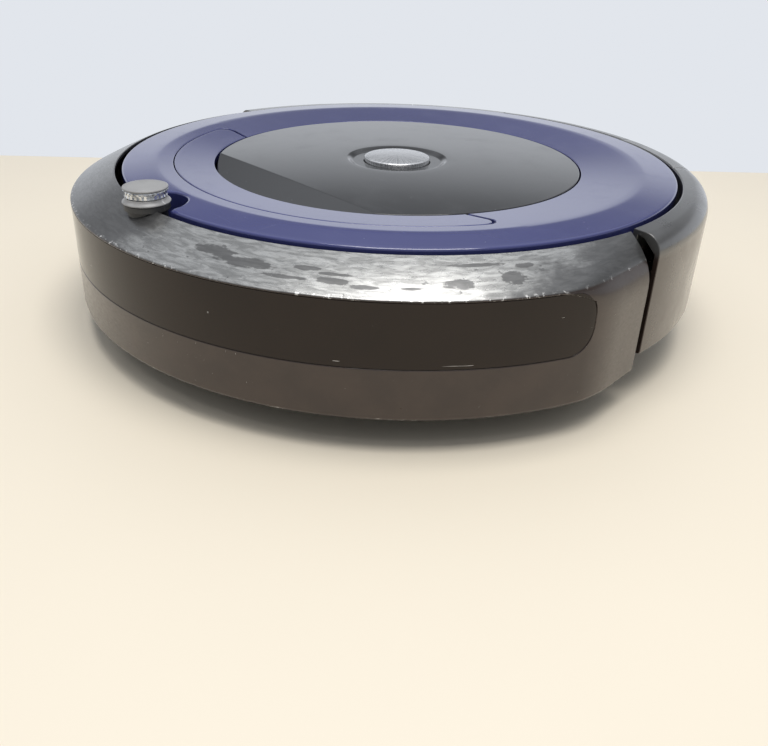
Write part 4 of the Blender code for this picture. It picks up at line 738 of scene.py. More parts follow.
def discShell():
    # rings of points at chosen radii; on the finger facet one ring lies on the chord r = chord / cos a
    d = disc
    half = math.degrees(math.acos(d["chord"] / d["radius"]))
    a = np.concatenate([np.linspace(-half, half, 61), np.linspace(half, 360 - half, 181)[1:-1]])
    lean = np.cos(np.radians(a))
    onFacet = np.abs(np.where(a > 180, a - 360, a)) < half - 1e-6
    rim = d["radius"] - d["edge"]
    chord = np.where(onFacet, np.minimum(d["chord"] / np.maximum(lean, 0.2), rim - 0.02), rim - 0.02)

    def top(r):
        fold = 0.12  # how softly the facet bends away
        past = r * lean - d["chord"]
        drop = d["slope"] * fold * np.logaddexp(0, past / fold)
        return d["z"] + swell(r) - np.where(onFacet, drop, 0.0)

    def swell(r):  # the disc is slightly domed
        return d["dome"] * (1 - (r / d["radius"]) ** 2)

    rows = []

    def row(r, z):
        r, z = np.broadcast_to(r, a.shape), np.broadcast_to(z, a.shape)
        rows.append(around(r, a, z))

    low = d["z"] + d["dome"] * 0.9 - d["dishDepth"]
    row(d["bore"], low - 6.0)
    row(d["bore"], low - 0.3)
    row(d["bore"] + 0.3, low)
    for t in np.linspace(0, 1, 9):  # the dish: flat, then a cosine rise to the disc
        row(25.2 + (d["dish"] - 25.2) * t, low + d["dishDepth"] * (1 - math.cos(pi * t)) / 2)
    for t in np.linspace(0, 1, 15)[1:-1]:
        r = d["dish"] + (chord - 0.6 - d["dish"]) * t
        row(r, d["z"] + swell(r))
    for off in (-0.6, -0.25, 0.0, 0.25, 0.6):
        r = np.minimum(chord + off, rim - 0.01 + off * 0.01)
        row(r, top(r))
    for t in (0.33, 0.66, 1.0):
        r = chord + 0.6 + (rim - chord - 0.6) * t
        r = np.minimum(np.maximum(r, chord + 0.6), rim)
        row(r, top(r))
    zRim = top(np.full(a.shape, rim))
    for t in np.radians([30, 60, 90]):
        row(rim + d["edge"] * math.sin(t), zRim - d["edge"] * (1 - math.cos(t)))
    row(d["radius"], d["foot"])
    row(d["radius"] - 2.0, d["foot"])
    row(d["radius"] - 2.0, zRim - 3.4)
    row(d["chord"] - 6.0, d["z"] - 3.0)
    row(d["dish"] + 2.0, d["z"] - 3.0)
    row(d["bore"] + 2.0, low - 2.6)
    row(d["bore"] + 2.0, low - 6.0)
    return skin(np.array(rows), alongClosed=True)


makePiece("centreDisc", discShell(), blackGloss, "robot", ("center_disc",), "black_gloss")

button = dict(radius=18.9, top=82.9, dome=1.1, low=78.3, stem=3.0)
domeR = np.linspace(0, 1, 16)
buttonProfile = [(0, 74.0), (button["stem"], 74.0), (button["stem"], 79.2), (button["radius"] - 2, 79.2),
                 (button["radius"] - 2, button["low"]), (button["radius"], button["low"])]
buttonProfile += [(button["radius"], button["top"] - 0.6), (button["radius"] - 0.25, button["top"] - 0.22),
                  (button["radius"] - 0.8, button["top"])]
buttonProfile += [((button["radius"] - 0.8) * (1 - t), button["top"] + button["dome"] * (1 - (1 - t) ** 2))
                  for t in domeR[1:]]
makePiece("cleanButton", lathe(buttonProfile, 0, 128, (0, ringY, 0)), buttonFinish, "button", ("clean_button",),
          "bright_metal")
print("ring, handle, disc and button built")


# bumper, its window and the knob
bumper = dict(radius=180.0, shift=2.5, sideHalf=176.5, endHalf=172.5, end=2.5, wall=3.0, bottom=16.2, edgeZ=71.6,
              innerZ=82.4, rim=158.5, windowLow=41.2, windowHigh=70.7, windowHalf=76.5, windowRound=12.0, recess=1.7,
              endFillet=13.0, crisp=0.7, bulge=0.35)
arcEnd = math.degrees(math.asin(bumper["sideHalf"] / bumper["radius"]))


def bumperPlan(s, inset=0.0):
    # wall outline: an arc, then a straight side; between s = 0.87 and 0.93 a curve leads from one to the other
    low, high = 0.865, 0.935
    t = np.clip((np.abs(s) - low) / (high - low), 0, 1)
    x0, y0 = sharpPlan(np.sign(s) * low, inset)
    x1, y1 = sharpPlan(np.sign(s) * 0.9, inset)
    x2, y2 = sharpPlan(np.sign(s) * high, inset)
    x, y = sharpPlan(s, inset)
    within = (t > 0) & (t < 1)
    return (np.where(within, (1 - t) ** 2 * x0 + 2 * t * (1 - t) * x1 + t ** 2 * x2, x),
            np.where(within, (1 - t) ** 2 * y0 + 2 * t * (1 - t) * y1 + t ** 2 * y2, y))


def sharpPlan(s, inset):
    d = bumper
    t = np.abs(s)
    r = d["radius"] - inset
    a = np.radians(arcEnd) * np.minimum(t / 0.9, 1.0)
    x, f = r * np.sin(a), d["shift"] + r * np.cos(a)
    u = np.clip((t - 0.9) / 0.1, 0, 1)
    x = x + (d["endHalf"] - inset - x) * u
    f = f + (d["end"] - f) * u
    return np.sign(s) * x, ringY - f


def bumperRows():
    d = bumper
    windowS = d["windowHalf"] / arcEnd * 0.9
    perS = math.radians(arcEnd) / 0.9 * d["radius"]  # mm of wall for one unit of s
    corner = windowS - d["windowRound"] / perS * (1 - np.cos(np.linspace(0, pi / 2, 12)))
    right = np.unique(np.concatenate([np.linspace(0, corner[-1], 90), corner, [windowS + 0.0002],
                                      np.linspace(windowS + 0.004, 0.94, 26), np.linspace(0.94, 1.0, 8)]))
    s = np.concatenate([-right[::-1][:-1], right])
    fromEnd = (windowS - np.abs(s)) * perS
    inWindow = fromEnd > -1e-6
    back = np.clip(d["windowRound"] - np.maximum(fromEnd, 0), 0, d["windowRound"])
    lift = d["windowRound"] - np.sqrt(d["windowRound"] ** 2 - back ** 2)
    low = np.where(inWindow, d["windowLow"] - 0.25 + lift, 56.0)
    high = np.where(inWindow, d["windowHigh"] + 0.25 - lift, 56.2)
    blend = np.clip((np.abs(s) - 0.80) / 0.14, 0, 1)
    blend = blend * blend * (3 - 2 * blend)
    fillet = d["crisp"] + (d["endFillet"] - d["crisp"]) * blend
    ox, oy = bumperPlan(s)
    angle = np.arctan2(ox, ringY - oy)
    f = np.maximum(d["rim"] * np.cos(angle), d["end"])
    rx, ry = np.sign(s) * np.sqrt(np.maximum(d["rim"] ** 2 - f ** 2, 0)), ringY - f
    span = np.hypot(ox - rx, oy - ry)
    drop = (d["innerZ"] - d["edgeZ"]) / span
    rows = []

    def row(x, y, z):
        rows.append(np.stack(np.broadcast_arrays(x, y, z), axis=-1))

    def onTop(back):  # a point on the slope, back mm in from the wall
        share = back / span
        return (ox + (rx - ox) * share, oy + (ry - oy) * share,
                d["edgeZ"] + drop * back + d["bulge"] * np.sin(pi * np.clip(share, 0, 1)))

    row(*onTop(span)[:2], d["innerZ"] - 2.2)
    row(*onTop(span)[:2], d["innerZ"] - 0.5)
    for t in (0.5, 1.0):
        x, y, z = onTop(span - 0.5 * t)
        row(x, y, z + 0.0)
    for t in np.linspace(1, 0, 12):
        row(*onTop(fillet + (span - 1.0 - fillet) * t))
    start = np.stack(onTop(fillet), axis=-1)
    cornerPoint = np.stack(np.broadcast_arrays(ox, oy, d["edgeZ"]), axis=-1)
    stop = np.stack([ox, oy, d["edgeZ"] - fillet * 0.95], axis=-1)
    for t in np.linspace(0, 1, 8)[1:]:
        rows.append((1 - t) ** 2 * start + 2 * t * (1 - t) * cornerPoint + t ** 2 * stop)
    row(ox, oy, np.minimum(np.maximum(high, 56.2) + 0.02, d["edgeZ"] - fillet * 0.95 - 0.02))
    inner = [bumperPlan(s, d["recess"] if k else 0.0) for k in (0, 1)]
    ix = np.where(inWindow, inner[1][0], inner[0][0])
    iy = np.where(inWindow, inner[1][1], inner[0][1])
    row(ix, iy, np.minimum(high, d["edgeZ"] - fillet * 0.95 - 0.04))
    row(ix, iy, low)
    row(ox, oy, low - 0.02)
    for z in (36.0, 30.0, 24.0, d["bottom"] + 2.2):
        row(ox, oy, z)
    for t in np.radians([30, 60, 90]):
        x, y = bumperPlan(s, 2.2 * (1 - math.cos(t)) * 0.8)
        row(x, y, d["bottom"] + 2.2 * (1 - math.sin(t)))
    x, y = bumperPlan(s, d["wall"])
    row(x, y, d["bottom"])
    row(x, y, 40.0)
    x, y = bumperPlan(s, d["wall"] + 0.2)
    row(x, y, d["edgeZ"] - fillet * 0.8 - 1.0)
    bx, by, bz = onTop(fillet + 3.0)
    row(bx, by, bz - 2.6 - d["bulge"])
    return np.array(rows)


makePiece("bumperShell", skin(bumperRows().transpose(1, 0, 2)), bumperFinish, "bumper", ("bumper",), "gunmetal",
          bevel=0.35)


def windowShell():
    # the strip between s limits, its end corners rounded by R - sqrt(R^2 - b^2)
    d = bumper
    windowS = (d["windowHalf"] - 0.12) / arcEnd * 0.9
    perS = math.radians(arcEnd) / 0.9 * d["radius"]
    corner = windowS - d["windowRound"] / perS * (1 - np.cos(np.linspace(0, pi / 2, 12)))
    right = np.unique(np.concatenate([np.linspace(0, corner[-1], 90), corner]))
    s = np.concatenate([-right[::-1][:-1], right])
    back = np.clip(d["windowRound"] - (windowS - np.abs(s)) * perS, 0, d["windowRound"])
    lift = d["windowRound"] - np.sqrt(np.maximum(d["windowRound"] ** 2 - back ** 2, 0))
    low, high = d["windowLow"] + lift, d["windowHigh"] - lift
    e = 0.25
    rows = []
    for inset, z in ((1.4, low), (e, low), (0.07, low + 0.07), (0.0, low + e), (0.0, (low + high) / 2), (0.0, high - e),
                     (0.07, high - 0.07), (e, high), (1.4, high)):
        x, y = bumperPlan(s, inset)
        rows.append(np.stack(np.broadcast_arrays(x, y, z), axis=-1))
    return skin(np.array(rows).transpose(1, 0, 2))


makePiece("infraredWindow", windowShell(), windowFinish, "bumper", ("bumper_window",), "window_brown")

knob = dict(forward=158.0, foot=81.2, top=92.0, capRadius=10.6, flareRadius=12.0, facets=26)
knobPlace = (0, ringY - knob["forward"], 0)
footProfile = [(0, 74.5), (9.4, 74.5), (9.4, 81.2), (10.9, 81.3), (10.7, 84.2), (0, 84.2)]
collarProfile = [(0, 84.3), (10.9, 84.3), (11.4, 84.7), (11.2, 85.2), (10.1, 86.1), (9.8, 87.0), (0, 87.0)]
makePiece("knobFoot", lathe(footProfile, (0, 0, 0, 0.3, 0.5, 0), 96, knobPlace), knobDark, "bumper", (), "black_satin")
makePiece("knobCollar", lathe(collarProfile, (0, 0.2, 0.3, 0.4, 0.6, 0.1, 0), 96, knobPlace), flareGrey, "bumper",
          ("sensor_base",), "black_satin")


def prismShell():
    # cut glass: the radius swings between peaks and valleys with the angle, peaks shifted on alternate rows
    a = np.linspace(0, 2 * pi, knob["facets"] * 4, endpoint=False)
    rows = []
    for z, r, shift in ((87.1, 9.5, 0), (87.6, 10.0, 0), (88.5, 9.8, 0.5), (89.4, 10.1, 0), (90.3, 10.5, 0.5),
                        (90.8, 10.2, 0.5)):
        wave = np.abs(((a * knob["facets"] / (2 * pi) + shift) % 1) * 2 - 1)
        radius = r - 0.42 * wave
        rows.append(np.stack([radius * np.cos(a), radius * np.sin(a) + knobPlace[1], np.full(a.shape, z)], axis=-1))
    return skin(np.array(rows))


makePiece("knobPrism", prismShell(), prismFinish, "bumper", ("sensor_prism",), "prism", sharp=12, weighted=False)
capProfile = [(0, 90.9), (10.2, 90.9), (10.5, 91.05), (10.6, 91.3), (10.6, 91.55), (10.5, 91.8), (10.1, 91.97),
              (9.6, 92.0), (9.3, 91.9), (0, 91.9)]
makePiece("knobCap", lathe(capProfile, 0.1, 96, knobPlace), capFinish, "bumper", ("sensor_cap",), "cap_grey")
print("bumper, window and knob built")


# rear body, bin and its release button
rear = dict(radius=172.3, shift=1.8, wall=2.6, bottom=24.0, fillet=9.0, rimZ=82.5, drop=0.3, rimInner=157.2,
            plane=-1.7, binHalf=43.6, deckZ=66.0, deckThick=2.5, releaseHalf=18.5)


def rimPoint(radius, degrees, z, shift=None):
    # like around, on a centre that slides from the ring axis at the rim to the rear wall's own centre
    share = (radius - rear["rimInner"]) / (rear["radius"] - rear["rimInner"])
    return around(radius, degrees, z, rear["shift"] * share)


def rearOutline():
    # section as radius and height: rim bevel, rounded shoulder, wall, foot, inside, inner rim wall
    d = rear
    r, f, top = d["radius"], d["fillet"], d["rimZ"]
    turn = np.radians(np.linspace(4, 90, 12))
    shoulder = np.stack([r - f + f * np.sin(turn), top - rear["drop"] - f + f * np.cos(turn)], axis=-1)
    outer = np.concatenate([[[d["rimInner"] + 0.1, top - 0.6], [d["rimInner"] + 0.7, top - 0.05],
                             [d["rimInner"] + 1.8, top - 0.12]], shoulder,
                            [[r, 50.0], [r, d["bottom"] + 1.4], [r - 0.35, d["bottom"] + 0.4], [r - 1.3, d["bottom"]]]])
    inner = np.array([[r - d["wall"], d["bottom"]], [r - d["wall"], top - d["drop"] - f], [r - f, top - 0.7 - d["wall"]],
                      [d["rimInner"] + d["wall"], top - d["wall"]], [d["rimInner"] + d["wall"], 62.6], [d["rimInner"], 62.6]])
    return outer, inner


def rearSide(side):
    # stations from the slit's plane back to the bin's seam
    outer, inner = rearOutline()
    section = np.concatenate([outer, inner])
    d = rear
    r, z = section[:, 0], section[:, 1]
    share = (r - d["rimInner"]) / (d["radius"] - d["rimInner"])
    shift = d["shift"] * share
    flat = np.stack([side * np.sqrt(r ** 2 - (d["plane"] - shift) ** 2), np.full(r.shape, ringY - d["plane"]), z],
                    axis=-1)
    first = 91.9
    angles = side * np.linspace(first, 180 - d["binHalf"], 70)[:, None]
    rest = rimPoint(r[None, :], angles, z[None, :])
    return skin(np.concatenate([flat[None], rest]))


def deckShell():
    # the floor under the ring: a round plate, wider behind, with the skirt under its rim
    a = np.linspace(0, 360, 180, endpoint=False)
    behind = np.clip((np.abs(a - 180) - 86) / -2.0, 0, 1)
    reach = 150.9 + (156.4 - 150.9) * behind
    section = ((0.02, 63.5), (0.5, 63.5), (1.0, 63.5), (1.0, 66.0), (0.5, 66.0), (0.02, 66.0))
    rows = [around(reach * share, a, z) for share, z in section]
    return skin(np.array(rows))


shellPiece = makePiece("deckTool", deckShell())
d = rear
boxes = []
for side in (-1, 1):
    x0, x1 = sorted((side * 90.5, side * 131.0))
    boxes.append(block((x0, ringY - 40, 40), (x1, ringY + 40, 75), 2.0))
shellPiece = carve(shellPiece, *boxes)
deckPoints = np.array([v.co for v in shellPiece.data.vertices]) / mm
deckFaces = [list(f.vertices) for f in shellPiece.data.polygons]
bpy.data.objects.remove(shellPiece)
skirt = []
for low, high in ((-58, 58),):
    a = np.linspace(low, high, 60)[:, None]
    skirt.append(skin(around(np.array([[150.9, 150.9, 148.8, 148.8]]), a, np.array([[50.0, 63.6, 63.6, 50.0]]))))
for side in (-1, 1):
    a = side * np.linspace(112, 146, 20)[:, None]
    skirt.append(skin(around(np.array([[150.9, 150.9, 148.8, 148.8]]), a, np.array([[50.0, 63.6, 63.6, 50.0]]))))
makePiece("rearBody", join(rearSide(1), rearSide(-1)), bodyFinish, "robot", ("upper_shell",), "warm_grey", bevel=0.3)
makePiece("innerDeck", join((deckPoints, deckFaces), *skirt), satinBlack, "robot", (), "black_satin", weighted=False)

binSize = dict(halfWidth=103.0, front=91.0, bottom=14.0, top=62.8, wall=2.0, half=43.42)


def binFace():
    # the rear wall of the bin: the body's own section with a thick back
    outer, _ = rearOutline()
    r = rear["radius"]
    section = np.concatenate([outer[:-1], [[r - 0.9, rear["bottom"] - 0.4], [r - 17.0, binSize["bottom"] + 1.0],
                                           [r - 18.5, binSize["bottom"] + 0.6], [r - 22.0, binSize["bottom"] + 0.6],
                                           [r - 22.0, 59.0], [rear["rimInner"], 64.0]]])
    angles = np.linspace(180 - binSize["half"], 180 + binSize["half"], 110)[:, None]
    return rimPoint(section[None, :, 0], angles, section[None, :, 1])


faceRows = binFace()


def binLoop(y, inset, low=None, high=None, radius=4.0):
    # a rounded rectangle in x and z at depth y
    w, b, t = binSize["halfWidth"] - inset, binSize["bottom"] + inset, binSize["top"] - inset
    loop = loopBox((-w, low or b), (w, high or t), radius, 0.0)
    return np.stack([loop[:, 0], np.full(len(loop), y), loop[:, 1]], axis=-1)


def binTailLoop(inset):
    # the hull's back end follows the rear wall: y = axis + sqrt((R - 20)^2 - x^2)
    loop = binLoop(0, inset)
    x = loop[:, 0]
    loop[:, 1] = np.minimum(ringY - 1.8 + np.sqrt((rear["radius"] - 20.0 - inset) ** 2 - x ** 2), 156.0)
    return loop


t = binSize["wall"]
mouth = loopBox((-78, binSize["bottom"] + 4), (78, binSize["top"] - 6), 3.0, 0.0)
mouthInner, mouthOuter = (np.stack([mouth[:, 0], np.full(len(mouth), y), mouth[:, 1]], axis=-1)
                          for y in (binSize["front"] + t, binSize["front"]))
hullRows = [binLoop(141.0, t), binLoop(binSize["front"] + t, t), mouthInner, mouthOuter, binLoop(binSize["front"], 0.6),
            binLoop(binSize["front"] + 0.6, 0.0), binLoop(110.0, 0.0), binTailLoop(0.0)]
hull = skin(np.array(hullRows))
ribs = [block((x - 0.8, 112, binSize["top"] - 0.2), (x + 0.8, 138, binSize["top"] + 0.15), 0.3, 0.1)
        for x in (-84, -56, -28, 28, 56, 84)]
binPiece = makePiece("binFaceTool", skin(faceRows))
pocket = rimPoint(np.array([[158.8, 190, 190, 158.8]]), np.linspace(180 - 18.5, 180 + 18.5, 50)[:, None],
                  np.array([[73.8, 73.8, 90, 90]]))
binPiece = carve(binPiece, skin(pocket))
facePoints = np.array([v.co for v in binPiece.data.vertices]) / mm
faceFaces = [list(f.vertices) for f in binPiece.data.polygons]
bpy.data.objects.remove(binPiece)
makePiece("binFace", (facePoints, faceFaces), bodyFinish, "bin", (), "warm_grey", bevel=0.3)
makePiece("binHull", join(hull, *ribs), binSmoke, "bin", ("bin_body",), "bin_smoke")


def releaseShell():
    # the press button in the rim, a slice of the rim's own section
    r, f, top = rear["radius"], rear["fillet"], rear["rimZ"]
    turn = np.radians(np.linspace(4, 36, 6))
    shoulder = np.stack([r - f + f * np.sin(turn), top - rear["drop"] - f + f * np.cos(turn)], axis=-1)
    section = np.concatenate([[[159.35, top - 0.5], [159.8, top - 0.12]], shoulder,
                              [[r - 3.6, top - 3.6], [159.35, top - 3.6]]])
    half = rear["releaseHalf"] - 0.19
    angles = np.linspace(180 - half, 180 + half, 60)[:, None]
    return skin(rimPoint(section[None, :, 0], angles, section[None, :, 1]))


makePiece("binRelease", releaseShell(), bodyFinish, "bin_button", ("bin_release",), "warm_grey", bevel=0.3)
print("rear body and bin built")


# everything else: finishes by CAD node, then the pieces that get a shape of their own
keptFinish = dict(handle_pin_left=steelFinish, handle_pin_right=steelFinish, ui_board=boardFinish, main_board=boardFinish,
                  battery=batteryWrap, battery_cover=underBlack, cover_screw_left=steelFinish, cover_screw_right=steelFinish,
                  bumper_spring_left=springSteel, bumper_spring_right=springSteel, bump_switch_left=satinBlack,
                  bump_switch_right=satinBlack, brush_housing=underBlack, brush_gearbox=warmPlastic, brush_motor=steelFinish,
                  side_brush_motor=steelFinish, bin_door=binSmoke, bin_filter=paperFinish, bin_fan=satinBlack)
for word in ("left", "right"):
    keptFinish.update({word + "_pivot_pin": steelFinish, word + "_suspension_spring": springSteel,
                       "contact_" + word: brightMetal, "cliff_window_front_" + word: windowFinish,
                       "cliff_window_side_" + word: windowFinish, word + "_wheel_arm": underBlack,
                       word + "_wheel_motor": steelFinish, word + "_wheel_axle": steelFinish,
                       word + "_wheel_hub": warmPlastic, word + "_tyre": tyreRubber})
keptFinish.update(chassis_tray=underBlack, caster_housing=underBlack, caster_fork=warmPlastic, caster_axle=steelFinish,
                  caster_wheel=casterRubber, roller_frame=warmPlastic, front_roller=rollerRubber, rear_roller=rollerRubber,
                  side_brush=satinBlack)
bodyOf = {name: body for body, names in frame["record"]["behaviour"]["bodies"].items() for name in names}
slotOf = {part["node"]: part["material_slot"] for part in frame["record"]["subparts"]}


def fromCad(name):
    # the CAD node's own points and faces, in mm
    mesh = frame["nodes"][name].data
    points = np.empty(len(mesh.vertices) * 3)
    mesh.vertices.foreach_get("co", points)
    return points.reshape(-1, 3) / mm, [list(face.vertices) for face in mesh.polygons]


def stand(shell, *nodes, finish=None, name=None, **more):
    # a piece that takes the place of CAD nodes, on their body
    label = name or "".join(word.capitalize() for word in nodes[0].split("_"))
    return makePiece(label, shell, finish or keptFinish[nodes[0]], bodyOf[nodes[0]], nodes, slotOf[nodes[0]], **more)


def screwHead(x, y, z, radius=2.6, facing=-1):
    # a domed screw head with a round hollow in the middle, seen from below when facing is -1
    profile = [(0, 0.5), (0.9, 0.5), (1.2, 1.3), (radius * 0.8, 1.25), (radius, 0.7), (radius, 0.0), (0, 0.0)]
    return lathe([(r, h * facing) for r, h in profile], (0, 0, 0.2, 0.3, 0.3, 0, 0), 20, (x, y, z), "Z", 2)


# drive wheels: r = radius - shoulder |u|^6, less the tread depth inside chevron grooves
wheel = dict(x=117.0, radius=36.0, half=10.5, depth=1.5, lugs=30, rubber=5.7, hubOut=126.0, hubIn=106.0, spokes=6)


def tyreShell(side):
    d = wheel
    a = np.linspace(0, 2 * pi, 360, endpoint=False)
    rows = []
    for u in np.linspace(-1, 1, 17):
        saw = (a * d["lugs"] / (2 * pi) + 0.55 * abs(u)) % 1
        lug = np.clip((np.abs(saw - 0.5) - 0.14) / 0.07, 0, 1)
        r = d["radius"] - 1.2 * abs(u) ** 6 - d["depth"] * (1 - lug) * (1 - abs(u) ** 10)
        rows.append((side * d["x"] + u * d["half"], r))
    inner = np.full(a.shape, d["radius"] - d["rubber"] + 0.3)
    rows += [(side * d["x"] + d["half"], inner), (side * d["x"] - d["half"], inner)]
    return skin(np.array([np.stack([np.full(a.shape, x), ringY + r * np.sin(a), d["radius"] - r * np.cos(a)], axis=-1)
                          for x, r in rows]), alongClosed=True)


def hubShell(side):
    d = wheel
    centre = (0, ringY, d["radius"])
    rim = d["radius"] - d["rubber"]
    profile = [(3.1, d["hubIn"]), (rim, d["hubIn"]), (rim, d["hubOut"]), (rim - 2.4, d["hubOut"]), (rim - 4.0, d["hubOut"] - 4),
               (11.5, d["hubOut"] - 4), (10.0, d["hubOut"] - 0.6), (3.1, d["hubOut"] - 0.6)]
    bodyShell = lathe([(r, side * x) for r, x in profile], (0, 0.4, 0.6, 0.6, 1.0, 1.0, 0.6, 0.2), 96, centre, "X", 3)
    spokes = []
    for k in range(d["spokes"]):
        a = 2 * pi * (k + 0.5) / d["spokes"]
        path = [(side * (d["hubOut"] - 3.4), ringY + r * math.sin(a), d["radius"] + r * math.cos(a)) for r in (10.5, 18, 26.8)]
        spokes.append(rod(path, 2.1, 8))
    return join(bodyShell, *spokes)


for side, word in ((1, "left"), (-1, "right")):
    stand(tyreShell(side), word + "_tyre", sharp=30)
    stand(hubShell(side), word + "_wheel_hub")
    places = ((ringY + 14, 36.0), (ringY - 12, 50.0), (ringY - 6, 22.5), (ringY - 46, 56.0))
    heads = [lathe([(0, side * 92.6), (2.2, side * 92.6), (2.4, side * 91.7), (1.0, side * 91.5), (0, side * 92.0)], 0.15, 20,
                   (0, y, z), "X", 2) for y, z in places]
    ringCover = lathe([(9.0, side * 92.6), (15.5, side * 92.6), (15.0, side * 91.6), (9.5, side * 91.6)], 0.3, 64,
                      (0, ringY, 36.0), "X", 2)
    stand(fromCad(word + "_wheel_arm"), word + "_wheel_arm", bevel=0.7, fromFlat=True)
    makePiece("ArmFittings" + word.capitalize(), join(ringCover, *heads), steelFinish, word + "_arm", (), "steel")

# rollers: between lugs the skin falls 3 mm; the lugs run as chevrons, twist = 0.7 |x| / half
roller = dict(radius=17.0, half=74.0, valley=2.7, lugs=8, twist=0.7, z=19.2, shaft=4.0, reach=84.6)


def rollerShell(y, phase):
    d = roller
    a = np.linspace(0, 2 * pi, 256, endpoint=False)
    x = np.linspace(-d["half"], d["half"], 81)
    rows = []
    for place in x:
        lean = abs(place) / d["half"] * d["twist"]
        saw = ((a - lean) * d["lugs"] / (2 * pi) - phase) % 1
        off = np.minimum(saw, 1 - saw)
        lug = np.clip(1.45 - off / 0.09, 0, 1)
        fine = np.clip(1 - np.abs(off - 0.5) / 0.06, 0, 1) * 0.9
        edge = np.clip((d["half"] - abs(place)) / 1.5, 0, 1)
        r = d["radius"] - d["valley"] * (1 - lug) + fine - 0.8 * (1 - edge)
        rows.append(np.stack([np.full(a.shape, place), y + r * np.cos(a), d["z"] + r * np.sin(a)], axis=-1))
    shaft = lathe([(0, -d["reach"]), (d["shaft"] - 0.6, -d["reach"]), (d["shaft"], -d["reach"] + 0.6),
                   (d["shaft"], d["reach"] - 0.6), (d["shaft"] - 0.6, d["reach"]), (0, d["reach"])], 0, 32, (0, y, d["z"]), "X")
    caps = [lathe([(0, s * (d["half"] - 0.5)), (13.5, s * (d["half"] - 0.5)), (12.5, s * (d["half"] + 1.0)),
                   (0, s * (d["half"] + 1.0))], (0, 0, 0.4, 0), 64, (0, y, d["z"]), "X") for s in (-1, 1)]
    return join(skin(np.array(rows)), shaft, *caps)


stand(rollerShell(24.0, 0.0), "front_roller", sharp=30)
stand(rollerShell(60.0, 1.0), "rear_roller", sharp=30)

# side brush: a domed hub, three rubber arms and tufts whose bristles fan out and sag to z = low
brush = dict(place=(-98.0, -88.0), hubZ=5.0, armReach=24.0, reach=57.0, low=1.3, tuft=30)
bx, by = brush["place"]
hubPiece = lathe([(0, 5.0), (2.2, 5.0), (2.6, 6.2), (6.5, 5.6), (9.4, 7.0), (9.4, 10.0), (3.0, 10.0), (3.0, 19.8), (0, 19.8)],
                 (0, 0.2, 0.2, 0.8, 1.0, 0.3, 0.2, 0.2, 0), 64, (bx, by, 0))
arms, bristles = [], []
chance = np.random.default_rng(4)
for k in range(3):
    heading = math.radians(30 + 120 * k)
    ahead, aside = np.array([math.cos(heading), math.sin(heading)]), np.array([-math.sin(heading), math.cos(heading)])
    stations = []
    for r, wide, z, thick in ((5.0, 3.6, 7.3, 2.4), (11.0, 3.0, 7.2, 2.2), (17.0, 2.6, 6.7, 2.6), (22.5, 3.4, 6.2, 3.2),
                              (24.5, 2.6, 6.0, 2.4)):
        turnA = np.linspace(0, 2 * pi, 20, endpoint=False)
        across = np.sign(np.cos(turnA)) * np.abs(np.cos(turnA)) ** 0.6 * wide
        lift = np.sign(np.sin(turnA)) * np.abs(np.sin(turnA)) ** 0.6 * thick / 2
        xy = np.array(brush["place"]) + r * ahead + across[:, None] * aside
        stations.append(np.column_stack([xy, z + lift]))
    arms.append(skin(np.array(stations)))
    for _ in range(brush["tuft"]):
        spread, lift = chance.uniform(-1, 1), chance.uniform(-1, 1)
        t = np.linspace(0, 1, 6)
        r = 22 + (brush["reach"] - 22 - 3 * chance.random()) * t
        across = spread * (2.2 + 3.2 * t + 0.8 * t ** 2)
        z = 6.0 + lift * 0.9 - (4.6 - lift * 0.5) * t ** 1.6
        xy = np.array(brush["place"]) + r[:, None] * ahead + across[:, None] * aside
        bristles.append(rod(np.column_stack([xy, np.maximum(z, brush["low"])]), 0.22, 4))
stand(join(hubPiece, *arms), "side_brush")
makePiece("brushBristles", join(*bristles), bristleFinish, "side_brush", (), "black_satin", weighted=False)

# caster: a ball-nosed wheel in its bevelled cup
caster = dict(y=-112.5, z=13.5, radius=13.5, half=7.5)
t = np.linspace(-1, 1, 13)
casterProfile = [(2.4, -caster["half"])] + [(caster["radius"] - 2.2 * abs(u) ** 3, u * caster["half"]) for u in t]
casterProfile += [(2.4, caster["half"])]
stand(lathe(casterProfile, 0, 64, (0, caster["y"], caster["z"]), "X"), "caster_wheel")

# underside: screws in raised cups and a vent grille, all proud of the tray by less than a millimetre
tray = dict(z=12.0, screws=((-140, -44), (140, -44), (-134, 62), (134, 62),
            (-52, -146), (52, -146), (-92, -118), (92, -118)))
details = [screwHead(x, y, tray["z"] + 0.4) for x, y in tray["screws"]]
cups = [lathe([(3.1, tray["z"] - 0.7), (4.6, tray["z"] - 0.7), (5.0, tray["z"] + 0.4), (3.1, tray["z"] + 0.4)], 0.3, 32,
              (x, y, 0), "Z", 2) for x, y in tray["screws"]]
grille = [block((x, -78.0, tray["z"] - 0.8), (x + 1.6, -62.0, tray["z"] + 0.5), 0.7, 0.3) for x in np.arange(-30, 31, 4.0)]
stand(fromCad("chassis_tray"), "chassis_tray", bevel=0.6, fromFlat=True)
makePiece("trayScrews", join(*details), steelFinish, "robot", (), "steel")
makePiece("trayRibs", join(*cups, *grille), underBlack, "robot", (), "black_satin")

# roller frame: a rim with two rows of grip ridges
ridges = [block((start + x, 80.0, 8.7), (start + x + 1.0, 83.2, 9.6), 0.3, 0.2) for start in (-66.0, 40.0)
          for x in np.arange(0, 26, 2.0)]
stand(fromCad("roller_frame"), "roller_frame", bevel=0.6, fromFlat=True)
makePiece("frameRidges", join(*ridges), flareGrey, "roller_flap", (), "warm_grey")

